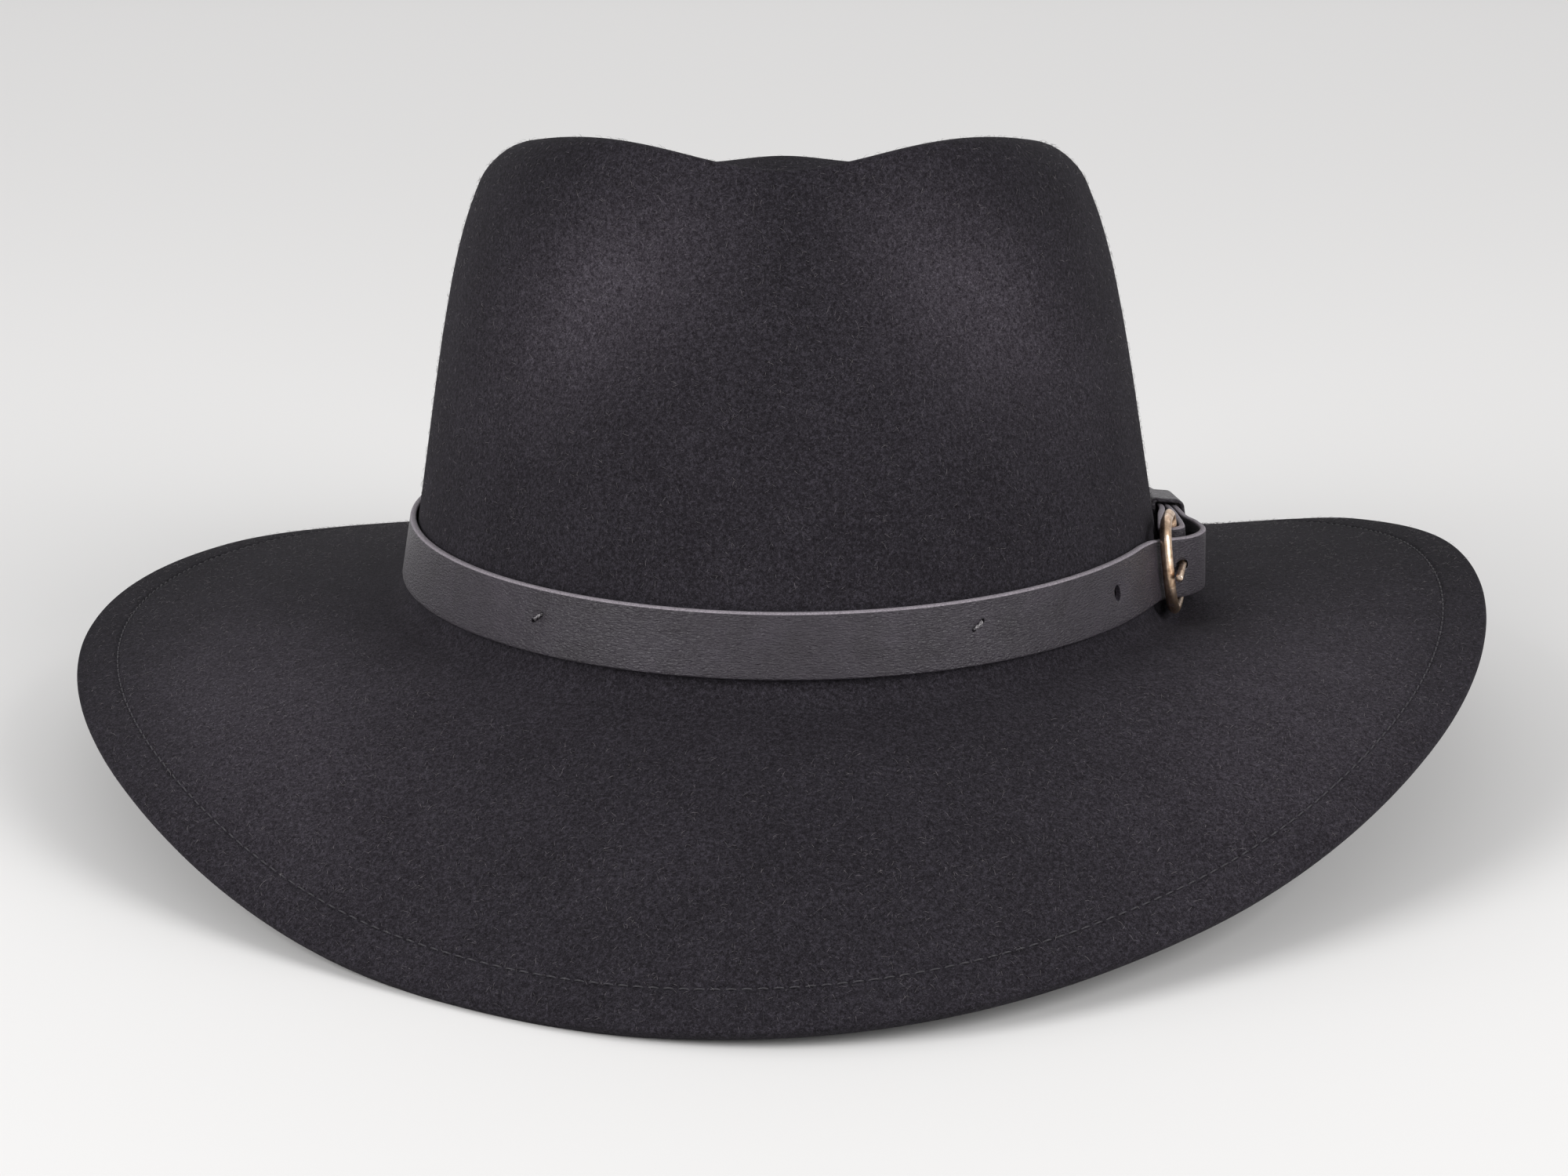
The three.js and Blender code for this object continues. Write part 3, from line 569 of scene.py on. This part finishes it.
def fibres(name, first_row, last_row, count):
    """Bent hairs on rows of the felt's skin, as many to each bit of area."""
    here = felt_skin[first_row:last_row]
    wide = np.linalg.norm(np.roll(here, -1, 1) - here, axis=-1)
    long = np.linalg.norm(np.diff(felt_skin[first_row : last_row + 1], axis=0), axis=-1)
    area = np.cumsum((wide * long).ravel())
    cell = np.searchsorted(area, luck.random(count) * area[-1])
    row, column = cell // here.shape[1] + first_row, cell % here.shape[1]
    aside, below = luck.random((2, count, 1))
    beside_it = (column + 1) % here.shape[1]
    root = felt_skin[row, column] * (1 - aside) + felt_skin[row, beside_it] * aside
    root = root + (felt_skin[row + 1, column] - felt_skin[row, column]) * below
    up = felt_normal[row, column]
    heading = luck.random((count, 1)) * 2 * pi
    level = unit(np.cross(up, [0.3, 0.5, 0.8]))
    along = level * np.cos(heading) + np.cross(up, level) * np.sin(heading)
    reach = luck.uniform(*fibre_length, (count, 1))
    lift = luck.uniform(*fibre_lift, (count, 1))
    curl = np.cross(up, along) * luck.normal(0, fibre_curl, (count, 1)) * reach
    middle = root + along * reach * 0.5 + up * lift * 1.1 + curl * 0.3
    end = root + along * reach + up * lift + curl

    azimuth = np.degrees(np.arctan2(root[:, 0] / foot_half_width, -root[:, 1] / foot_half_length))
    height = root[:, 2] - foot_height(azimuth)
    out = np.hypot(root[:, 0] / foot_half_width, root[:, 1] / foot_half_length)
    free = (height > strap_foot + strap_width + bare_above_strap) | (out > bare_beside_strap)

    rings = sides = 3
    ring = ring_round(np.cross(along, up), up, sides)
    course = zip((root - up * fibre_root, middle, end), fibre_taper)
    points = [at[:, None] + ring * radius * fibre_radius for at, radius in course]
    points = np.stack(points, 1)[free].reshape(-1, 3)
    starts = (np.arange(free.sum()) * rings * sides)[:, None, None]
    quads = (starts + ring_faces(rings, sides)).reshape(-1, 4).tolist()
    caps = (starts + np.array([[2, 1, 0], [6, 7, 8]])).reshape(-1, 3).tolist()
    return add_piece(name, points, quads + caps, [fibre])


brim_starts = len(felt_skin) - len(from_rim) - break_rows - (brim_spans - 1)
fibres("crown_fibres", 1, brim_starts, crown_fibre_count)
fibres("brim_fibres", brim_starts, len(felt_skin) - 2, brim_fibre_count)


# ---------------------------------------------------------------------------
# Edge stitching
# One row of lockstitch, 3 mm long, 8.8 mm inside the rim, that holds the
# turned edge: charcoal polyester thread, sunk in its own groove on both faces.
# ---------------------------------------------------------------------------
stitch_pitch = 3.0
stitch_length = 2.3
stitch_sink = 0.2
stitch_arch = 0.42
thread_radius = 0.22
thread_taper = 0.35

# Polyester thread: a little paler and less dull than the felt, and shaded by its
# twist, so the row shows as fine separate dashes.
thread, shader = new_material("charcoal_polyester_thread")
twist = noise(thread, own_place(thread), 0.2, Detail=2.0)
link(thread, ramp(thread, twist, [(0.35, "#19171b"), (0.7, "#39363c")]), shader.inputs["Base Color"])
shader.inputs["Roughness"].default_value = 0.6


def thread_stitches(name, course, normals):
    """Short threads along a closed course, each arched up from its holes."""
    step = np.linalg.norm(np.roll(course, -1, 0) - course, axis=1)
    run = np.concatenate([[0], np.cumsum(step)])
    closed = np.concatenate([course, course[:1]])
    facing = np.concatenate([normals, normals[:1]])
    count = int(round(run[-1] / stitch_pitch))
    rings, sides = 7, 6
    s = np.linspace(-0.5, 0.5, rings)
    lift = -stitch_sink + stitch_arch * (1 - (2 * s) ** 2)
    radius = thread_radius * (1 - thread_taper * (2 * np.abs(s)) ** 6)
    points, faces = [], []
    for n in range(count):
        at = (n + 0.5 + s * stitch_length / stitch_pitch) * run[-1] / count
        centre = np.stack([np.interp(at, run, closed[:, c]) for c in range(3)], -1)
        up = unit(np.stack([np.interp(at, run, facing[:, c]) for c in range(3)], -1))
        along = unit(np.gradient(centre, axis=0))
        ring = ring_round(np.cross(along, up), up, sides)
        centre = centre + up * lift[:, None]
        points.append(centre[:, None] + ring * radius[:, None, None])
        faces += tube_faces(rings, sides, first=n * rings * sides)
    return add_piece(name, np.concatenate(points).reshape(-1, 3), faces, [thread])


stitch_row = len(felt_skin) - len(from_rim) + int(np.argmin(np.abs(from_rim - stitch_inset)))
between_grooves = hem_thickness - (groove["depth"] + under_groove["depth"])
upper_course, facing = felt_skin[stitch_row], felt_normal[stitch_row]
thread_stitches("edge_stitches_upper", upper_course, facing)
thread_stitches("edge_stitches_under", upper_course - facing * between_grooves, -facing)


# ---------------------------------------------------------------------------
# Leather band
# One strap of vegetable-tanned calf, 13.6 mm wide and 1.4 mm thick, dyed on
# its face and raw at its cut edges. One end is folded round the buckle's heel,
# the other passes through the buckle, over the heel and under the keeper.
# ---------------------------------------------------------------------------
gap = 0.3
strap_off_felt = 0.55
layer_pitch = strap_thickness + gap
first_layer = strap_off_felt + strap_thickness / 2
keeper_thickness = 1.0
keeper_length = 12.0
keeper_ease = 0.3
keeper_azimuth = 97.2
keeper_off_felt = 0.75
keeper_lean = radians(8.5)
keeper_slope = 0.25
keeper_drop = 0.5
keeper_out = outward(keeper_azimuth)
keeper_turn = atan2(-keeper_out[1], keeper_out[0])
keeper = place_beside_wall(keeper_azimuth, keeper_off_felt, keeper_turn, keeper_lean)
# the loop hangs a little low, its outer side lowest
keeper["at"] = keeper["at"] - np.array([0, 0, keeper_drop])
keeper["out"] = keeper["out"] - keeper_slope * keeper["up"]
strap_straight = 0.8
between = {"azimuth": 86.5, "off": 1.7}
tip = {"azimuth": 121.0, "length": 7.0, "bluntness": 0.96, "settle": 9.0, "off": 1.4}
billet_rise = {
    "along": [-18.5, -16.0, -13.2, -10.0, -7.0, -3.5, 0.0, 4.0, 8.5, 13.5, 20.0],
    "out": [-3.0, -2.7, -1.5, 0.8, 3.1, 5.0, 6.0, 6.1, 5.2, 3.8, 1.6],
    "drop": [-0.2, 0.2, 0.5, 0.7, 0.9, 0.9, 0.8, 0.8, 0.9, 1.1, 1.4],
    "lean": [8, 7, 5, 3, 1, 0, 0, 1, 3, 4, 7],
}


def on_wall(azimuth, off):
    """The strap's lower and upper edge where it lies off the wall."""
    return [wall_at(azimuth, share) + outward(azimuth) * off for share in (0, 1)]


def strap_by(place, along, out):
    """The strap's lower and upper edge beside a fitting."""
    return [beside(place, along, out, up) for up in (-strap_width / 2, strap_width / 2)]


def risen(along, out, drop, lean):
    """The free end, where it rises to pass over the heel."""
    upright = place_beside_wall(heel_azimuth, heel_off, frame_turn, radians(lean))
    level = np.array([cos(frame_turn), -sin(frame_turn), 0])
    upright["at"] = upright["at"] + along * upright["along"] + out * level - np.array([0, 0, drop])
    return strap_by(upright, 0, 0)


def in_keeper(layer):
    """One of the three layers in the keeper, counted from the felt."""
    out = keeper_thickness + keeper_ease / 2 + gap + strap_thickness / 2 + layer * layer_pitch
    reach = keeper_length / 2 + strap_straight
    return [strap_by(keeper, along, out) for along in (-reach, 0, reach)]


def band_course():
    """The strap's lower and upper edges, from its turned end to its tip."""
    course = in_keeper(1)[::-1]
    course.append(on_wall(between["azimuth"], between["off"] + 2 * layer_pitch))
    for turn in np.radians(np.arange(90, -91, -22.5)):
        course.append(strap_by(heel, -fold_radius * cos(turn), fold_radius * sin(turn)))
    course += [on_wall(between["azimuth"], between["off"]), *in_keeper(0)]
    course += [on_wall(azimuth, first_layer) for azimuth in range(115, 426, 5)]
    course += [risen(*values) for values in zip(*billet_rise.values())]
    course += in_keeper(2)
    course.append(on_wall(tip["azimuth"] - tip["settle"], first_layer + tip["off"] * layer_pitch))
    course.append(on_wall(tip["azimuth"], first_layer + layer_pitch))
    return np.array(course)


strap_easing = 0.42
strap_rows_per_span = 10
strap_columns = 17


def strap_grid():
    """Stations along the strap, each a closed section with eased corners."""
    course = band_course()
    spans = len(course) - 1
    places = np.linspace(0, spans, spans * strap_rows_per_span + 1)
    low, high = (smooth_course(course[:, side], places) for side in (0, 1))
    along = unit(np.gradient(low, axis=0))
    aside = unit(np.stack([along[:, 1], -along[:, 0], 0 * along[:, 0]], -1))
    near_tip = 1 - np.linalg.norm(high - high[-1], axis=1) / tip["length"]
    near_tip[: len(high) // 2] = 0
    shrink = (1 - np.sqrt(1 - tip["bluntness"] * np.maximum(near_tip, 0) ** 2)) / 2
    across = (high - low) * shrink[:, None]
    low, high = low + across, high - across
    half = strap_thickness / 2
    flat = 1 - strap_easing / (strap_width / 2)
    outer = [(v * flat, half) for v in np.linspace(-1, 1, strap_columns)]
    corner = []
    for t in (0, pi / 6, pi / 3):
        v = 1 - strap_easing * (1 - cos(t)) / (strap_width / 2)
        corner.append((v, half - strap_easing * (1 - sin(t))))
    upper_half = outer + corner[::-1] + [(v, -d) for v, d in corner]
    section = upper_half + [(-v, -d) for v, d in upper_half]
    rows = [low * (1 - v) / 2 + high * (1 + v) / 2 + aside * d for v, d in section]
    return np.stack(rows, 1), np.array(section)


def strap_faces(grid, section):
    """Faces of the swept strap, and which of them take the pale cut edge, more of it on the upper side as
    painted light.
    """
    stations, count = grid.shape[:2]
    height = (section + np.roll(section, -1, 0))[:, 0] / 2
    # the upper edge is pale raw round to the face, the lower one only on its narrow side: painted light on
    # top and painted shade below, though both edges are cut alike
    edge = (height > 0.95) | (height < -0.985)
    cut = np.tile(edge, stations - 1)
    return tube_faces(stations, count), np.concatenate([cut, [True, True]])


# Dyed calf: aniline grey over a smooth plated grain, so it has a soft satin gloss
# and fine creases that run along the strap, about 0.3 mm apart: the grain of
# 1.1 mm is packed 3.6 times closer up the strap.
leather, shader = new_material("dyed_calf_leather")
place = own_place(leather)
lengthwise = {"Rotation": (-hat_pitch, 0.0, 0.0), "Scale": (1.0, 1.0, 3.6)}
along = add_node(leather, "ShaderNodeMapping", Vector=place, **lengthwise).outputs[0]
crease = noise(leather, along, 1.1, Detail=3.0, Roughness=0.55, Distortion=0.5)
cells = {"Scale": grain(0.43), "Smoothness": 0.7}
pebble = add_node(leather, "ShaderNodeTexVoronoi", {"feature": "SMOOTH_F1"}, Vector=place, **cells)
wear = noise(leather, place, 8, Detail=4.0, Roughness=0.6)
dyed = ramp(leather, wear, [(0.3, "#2a252b"), (0.55, "#322d34"), (0.8, "#3c363e")])
link(leather, dyed, shader.inputs["Base Color"])
link(leather, ranged(leather, crease, 0.28, 0.46), shader.inputs["Roughness"])
shader.inputs["IOR"].default_value = 1.5
pebbled = relief(leather, pebble.outputs["Distance"], 0.15, 0.2)
link(leather, relief(leather, crease, 1.0, 0.5, Normal=pebbled), shader.inputs["Normal"])

# Cut edge of the hide: the undyed fibre layer shows, so it is paler and dull.
raw_edge, shader = new_material("cut_leather_edge")
frayed = noise(raw_edge, own_place(raw_edge), 0.4, Detail=4.0, Roughness=0.7)
link(raw_edge, ramp(raw_edge, frayed, [(0.3, "#5f595f"), (0.7, "#989198")]), shader.inputs["Base Color"])
shader.inputs["Roughness"].default_value = 0.8
link(raw_edge, relief(raw_edge, frayed, 0.5, 0.3), shader.inputs["Normal"])


def dimple(grid, azimuth, share, depth, spread):
    """Presses the strap's outer face in round a place on the wall."""
    out = outward(azimuth)
    at = wall_at(azimuth, share) + out * (strap_off_felt + strap_thickness)
    away = grid - at
    depth_in = away @ out
    flat = np.linalg.norm(away - depth_in[..., None] * out, axis=-1)
    # the face falls away round the head, so the reach in depth grows with the distance
    on_face = (depth_in > -0.75 - 0.02 * flat**2) & (flat < 8)
    grid -= out * (depth * bell(flat, spread) * on_face)[..., None]


# places on the wall: azimuth in degrees and share of the strap's width
spare_hole = {"azimuth": 54.5, "share": 0.5, "across": 2.8, "deep": 4.2, "tall": 3.4}
tacks = {"azimuth": [-36.3, 26.8], "share": [0.55, 0.6]}
grid, section = strap_grid()
dimple(grid, spare_hole["azimuth"], spare_hole["share"], depth=0.45, spread=2.3)
for azimuth, share in zip(*tacks.values()):
    dimple(grid, azimuth, share, depth=0.4, spread=1.6)
faces, cut = strap_faces(grid, section)
band = add_piece("leather_band", grid.reshape(-1, 3), faces, [leather, raw_edge])
# the pale cut-edge faces: more of them on the upper edge, as painted light
band.data.polygons.foreach_set("material_index", cut.astype(np.int32))
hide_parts("hat_band")


# ---------------------------------------------------------------------------
# Holes in the band
# A round spare hole at the front of the buckle, a longer one that the prong
# fills, and a slot at the heel that lets the prong swing. Each is punched
# straight through the leather.
# ---------------------------------------------------------------------------
slot_at_heel = {"length": 7.6, "depth": 7.2, "height": 2.6}
prong_hole = {"wide": 2.3, "long": 8.4, "place": 7.8}
prong_length = 19.8
prong_reach = 2.4
prong_drop = 1.4
punch_corners = 28


def prong_droop(along):
    return prong_drop * along / prong_length


def squared(value, power):
    """A sine or cosine bent towards a square: power 2 leaves it round."""
    return np.sign(value) * np.abs(value) ** (2 / power)


def punch_out(piece, name, at, along, out, half_sizes, power):
    """Cuts a hole along a direction: power 2 is an oval, and more squares it."""
    up = np.cross(along, out)
    turn = np.arange(punch_corners) * 2 * pi / punch_corners
    a = squared(np.cos(turn), power) * half_sizes[0]
    b = squared(np.sin(turn), power) * half_sizes[2]
    ring = at + a[:, None] * along + b[:, None] * up
    points = np.concatenate([ring - out * half_sizes[1], ring + out * half_sizes[1]])
    mesh = bpy.data.meshes.new(name)
    mesh.from_pydata(in_place(points).tolist(), [], tube_faces(2, punch_corners))
    turn_outward(mesh)
    mesh.materials.append(leather)
    punch = bpy.data.objects.new(name, mesh)
    bpy.context.scene.collection.objects.link(punch)
    cutter = piece.modifiers.new(name, "BOOLEAN")
    cutter.object = punch
    cutter.operation = "DIFFERENCE"
    cutter.solver = "EXACT"
    bpy.context.view_layer.update()
    holed = piece.evaluated_get(bpy.context.evaluated_depsgraph_get())
    mesh = bpy.data.meshes.new_from_object(holed)
    piece.modifiers.clear()
    piece.data = mesh
    bpy.data.objects.remove(punch)


hole_out = outward(spare_hole["azimuth"])
hole_along = np.array([-hole_out[1], hole_out[0], 0])
hole_at = wall_at(spare_hole["azimuth"], spare_hole["share"]) + hole_out * first_layer
halves = [spare_hole[k] / 2 for k in ("across", "deep", "tall")]
punch_out(band, "punch_spare", hole_at, hole_along, hole_out, halves, 2)
halves = [slot_at_heel[k] / 2 for k in ("length", "depth", "height")]
punch_out(band, "punch_slot", heel["at"], heel["along"], heel["out"], halves, 8)
halves = [prong_hole[k] / 2 for k in ("wide", "long", "wide")]
prong_hole_at = beside(heel, -prong_hole["place"], prong_reach, -prong_droop(prong_hole["place"]))
punch_out(band, "punch_prong", prong_hole_at, heel["out"], heel["along"], halves, 2.6)


# ---------------------------------------------------------------------------
# Keeper loop
# A flat loop of the same leather, 1 mm thick and 12 mm long, closed round
# three layers of the band, so that its corners are pulled tight and round. Its
# edges are dark like its face, not pale cut edge: painted shade on a rim that lies in shadow.
# ---------------------------------------------------------------------------
keeper_corner = 0.6
keeper_easing = 0.3
keeper_columns = 9
keeper_rows_per_corner = 10


def keeper_rows():
    """Sections of the loop, in turn round its four corners."""
    thick = keeper_thickness
    outer = thick + 3 * strap_thickness + 4 * gap + keeper_ease
    tall = (strap_width + keeper_ease + keeper_slope * strap_thickness) / 2 + gap
    middle = (thick + outer) / 2
    half = keeper_length / 2
    nick = keeper_easing * 0.3
    across = [v * (half - keeper_easing) for v in np.linspace(-1, 1, keeper_columns)]
    section = [(thick, v) for v in across]
    section += [(thick - nick, half - nick), (thick - keeper_easing, half), (keeper_easing, half)]
    section += [(0, v) for v in across[::-1]]
    section += [(keeper_easing, -half), (thick - keeper_easing, -half), (thick - nick, -half + nick)]
    rows = []
    for corner, (side_out, side_up) in enumerate(((1, -1), (1, 1), (-1, 1), (-1, -1))):
        centre_out = middle + side_out * ((outer - thick) / 2 - keeper_corner)
        centre = np.array([centre_out, side_up * (tall - keeper_corner)])
        start = (-90 + 90 * corner) * pi / 180
        for t in np.linspace(0, pi / 2, keeper_rows_per_corner):
            direction = np.array([cos(start + t), sin(start + t)])
            row = []
            for grow, along in section:
                out, up = centre + direction * (keeper_corner + grow)
                row.append(beside(keeper, along, out, up))
            rows.append(row)
    return np.array(rows)


rows = keeper_rows()
faces = tube_faces(*rows.shape[:2], joined=True)
# the loop is face leather all over, edges too: painted shade on its rim
loop = add_piece("keeper_leather_loop", rows.reshape(-1, 3), faces, [leather])
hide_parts("keeper_loop")


# ---------------------------------------------------------------------------
# Buckle frame
# A cast brass ring of 2.6 mm section, straight at its heel and squared round
# at its near end, antiqued: dark oxide and rubbed bright metal in random patches.
# ---------------------------------------------------------------------------
near_squareness = 2.6
heel_squareness = 9.0
ring_fullness = 1.65
ring_outline = 1440
ring_rows = 160
ring_sides = 24


def even_path(path, count, closed):
    """The same path with evenly spaced points."""
    if closed:
        path = np.concatenate([path, path[:1]])
    run = np.concatenate([[0], np.cumsum(np.linalg.norm(np.diff(path, axis=0), axis=1))])
    at = np.linspace(0, run[-1], count + (1 if closed else 0))[: count]
    return np.stack([np.interp(at, run, path[:, c]) for c in range(3)], -1)


def wire_points(path, facing, radii, sides, closed, fullness=2.0):
    """Rings round a path, from the side that it faces: fullness 2 is round, less is ridged."""
    if closed:
        along = unit(np.roll(path, -1, 0) - np.roll(path, 1, 0))
    else:
        along = unit(np.gradient(path, axis=0))
    across = unit(np.cross(along, facing))
    turn = np.arange(sides) / sides * 2 * pi
    reach = (np.abs(np.cos(turn)) ** fullness + np.abs(np.sin(turn)) ** fullness) ** (-1 / fullness)
    ring = facing * (reach * np.cos(turn))[None, :, None]
    ring = ring + across[:, None] * (reach * np.sin(turn))[None, :, None]
    return path[:, None] + ring * np.asarray(radii)[:, None, None]


# Cast brass: a warm metal that is dull and brownish where oxide was left, and
# paler and shinier where it was rubbed, with fine casting pits.
brass, shader = new_material("antiqued_cast_brass")
place = own_place(brass)
tarnish = noise(brass, place, 2.4, Detail=6.0, Roughness=0.65)
pits = noise(brass, place, 0.42, Detail=3.0, Roughness=0.6)
oxide = ramp(brass, tarnish, [(0.34, "#9c7f68"), (0.48, "#dcbda0"), (0.7, "#f8e2cf")])
link(brass, oxide, shader.inputs["Base Color"])
shader.inputs["Metallic"].default_value = 1.0
link(brass, ranged(brass, tarnish, 0.42, 0.24), shader.inputs["Roughness"])
link(brass, relief(brass, pits, 0.25, 0.2), shader.inputs["Normal"])

turn = np.arange(ring_outline) * 2 * pi / ring_outline
power = np.where(np.cos(turn) > 0, heel_squareness, near_squareness)
along = squared(np.cos(turn), power) * frame_reach - frame_reach
up = squared(np.sin(turn), power) * (frame_height - frame_wire) / 2
outline = np.array([beside(heel, a, 0, b) for a, b in zip(along, up)])
path = even_path(outline, ring_rows, True)
radii = np.full(ring_rows, frame_wire / 2)
rings = wire_points(path, heel["out"], radii, ring_sides, True, ring_fullness)
faces = tube_faces(ring_rows, ring_sides, joined=True)
ring = add_piece("buckle_ring", rings.reshape(-1, 3), faces, [brass])
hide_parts("buckle_frame")


# ---------------------------------------------------------------------------
# Buckle prong
# A 1.6 mm brass wire, hooked round the heel and lying over the near end of the
# ring; its end is cut off square, with the edge just broken.
# ---------------------------------------------------------------------------
prong_wire = 1.6
prong_over_ring = 0.1
prong_rows = 90
prong_sides = 20
prong_course_points = 400
end_easing = 0.3
end_share = 0.82
hook = (frame_wire + prong_wire) / 2 + gap
turns = np.radians(np.arange(190, -1, -38))
control = [beside(heel, hook * sin(t), hook * cos(t), 0) for t in turns]
for along in (prong_length * 0.35, prong_length * 0.7, prong_length):
    control.append(beside(heel, -along, hook + prong_over_ring, -prong_droop(along)))
course = smooth_course(control, np.linspace(0, len(control) - 1, prong_course_points))
path = even_path(course, prong_rows, False)
radii = np.full(prong_rows, prong_wire / 2)
rings = wire_points(path, heel["up"], radii, prong_sides, False)
tip_ring = path[-1] + (rings[-1] - path[-1]) * end_share
rings[-1] += (path[-2] - path[-1]) * end_easing
rings = np.concatenate([rings, tip_ring[None]])
faces = tube_faces(prong_rows + 1, prong_sides)
prong = add_piece("prong_wire", rings.reshape(-1, 3), faces, [brass])
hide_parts("buckle_prong")


# ---------------------------------------------------------------------------
# Tack stitches
# Two short slanted stitches at the front hold the band to the crown: a twisted
# pair of waxed threads, 3 mm long, that dives into needle holes at both ends.
# ---------------------------------------------------------------------------
tack_slant = radians(36)
tack_half_length = 1.4
tack_arch = 0.75
needle_place = 1.3
needle_hole = (0.6, 1.0, 0.45)
strand_radius = 0.24
strand_off_axis = 0.17
half_turns = 1.4
strand_rings = 15
strand_sides = 8

# Waxed thread: its grey plies shine through the wax in pale flecks, brighter than
# the leather round them.
waxed, shader = new_material("waxed_grey_thread")
plies = noise(waxed, own_place(waxed), 0.25, Detail=2.0)
link(waxed, ramp(waxed, plies, [(0.4, "#242225"), (0.62, "#8f8b8e")]), shader.inputs["Base Color"])
shader.inputs["Roughness"].default_value = 0.3


def tack_stitch(name, azimuth, share):
    """A twisted pair of threads between two needle holes."""
    out = outward(azimuth)
    along = np.array([-out[1], out[0], 0])
    heading = along * cos(tack_slant) + np.array([0, 0, sin(tack_slant)])
    across = np.cross(out, heading)
    middle = wall_at(azimuth, share) + out * (strap_off_felt + strap_thickness)
    for end in (-needle_place, needle_place):
        punch_out(band, "needle_hole", middle + heading * end, heading, out, needle_hole, 2)
    s = np.linspace(-1, 1, strand_rings)
    lift = tack_arch * (1 - s**4) - tack_arch
    radii = np.full(strand_rings, strand_radius)
    points, faces = [], []
    for strand in (0, 1):
        twist = (s * half_turns + strand) * pi
        path = middle + heading * (s * tack_half_length)[:, None]
        path = path + out * (lift + strand_off_axis * np.cos(twist))[:, None]
        path = path + across * (strand_off_axis * np.sin(twist))[:, None]
        points.append(wire_points(path, out, radii, strand_sides, False).reshape(-1, 3))
        faces += tube_faces(strand_rings, strand_sides, first=strand * strand_rings * strand_sides)
    add_piece(name, np.concatenate(points), faces, [waxed])


for side, azimuth, share in zip(("left", "right"), *tacks.values()):
    tack_stitch("tack_stitch_" + side, azimuth, share)


# ---------------------------------------------------------------------------
# Floor, light and camera
# A plain pale sweep, soft studio boxes and a long lens, a little above the
# brim, as in the photograph.
# ---------------------------------------------------------------------------
floor_reach = 6.0
hat_middle = (0, 0, 0.07)


def flat_floor():
    r = floor_reach
    mesh = bpy.data.meshes.new("studio_floor")
    mesh.from_pydata([(-r, -r, 0), (r, -r, 0), (r, r, 0), (-r, r, 0)], [], [(0, 1, 2, 3)])
    floor = bpy.data.objects.new("studio_floor", mesh)
    bpy.context.scene.collection.objects.link(floor)
    # Matte paint: nearly white and without a shine, so the hat isn't mirrored in it.
    paint, shader = new_material("matte_white_paint")
    shader.inputs["Base Color"].default_value = linear("#e2e1e0")
    shader.inputs["Roughness"].default_value = 0.9
    mesh.materials.append(paint)


def soft_box(name, at, size, power):
    """A soft box that faces the hat."""
    data = bpy.data.lights.new(name, "AREA")
    data.shape = "RECTANGLE"
    data.size, data.size_y = size
    data.energy = power
    lamp = bpy.data.objects.new(name, data)
    lamp.location = at
    lamp.rotation_euler = (Vector(hat_middle) - Vector(at)).to_track_quat("-Z", "Y").to_euler()
    bpy.context.scene.collection.objects.link(lamp)


flat_floor()
bpy.context.scene.view_settings.view_transform = "Standard"
soft_box("box_left", (-1.3, -0.9, 0.9), (0.9, 1.2), 24)
soft_box("box_right", (1.3, -0.9, 0.9), (0.9, 1.2), 23)
soft_box("box_behind", (0, 1.7, 0.9), (3.0, 0.6), 8)
world = bpy.data.worlds.new("white_studio")
world.use_nodes = True
background = world.node_tree.nodes["Background"]
background.inputs["Color"].default_value = linear("#f4f4f5")
background.inputs["Strength"].default_value = 0.5
bpy.context.scene.world = world

camera_distance = 0.8
camera_elevation = radians(16.6)
aim_left = 0.00065
aim_down = 0.0058
hat_centre = hat_at / 1000
camera_back = Vector((0, -cos(camera_elevation), sin(camera_elevation)))
camera_up = Vector((0, sin(camera_elevation), cos(camera_elevation)))
camera_data = bpy.data.cameras.new("camera")
camera_data.sensor_width = 36.0
camera_data.lens = 79.2
camera = bpy.data.objects.new("camera", camera_data)
camera.location = hat_centre + camera_back * camera_distance
aim = hat_centre - Vector((aim_left, 0, 0)) - camera_up * aim_down
camera.rotation_euler = (aim - camera.location).to_track_quat("-Z", "Y").to_euler()
bpy.context.scene.collection.objects.link(camera)
bpy.context.scene.camera = camera
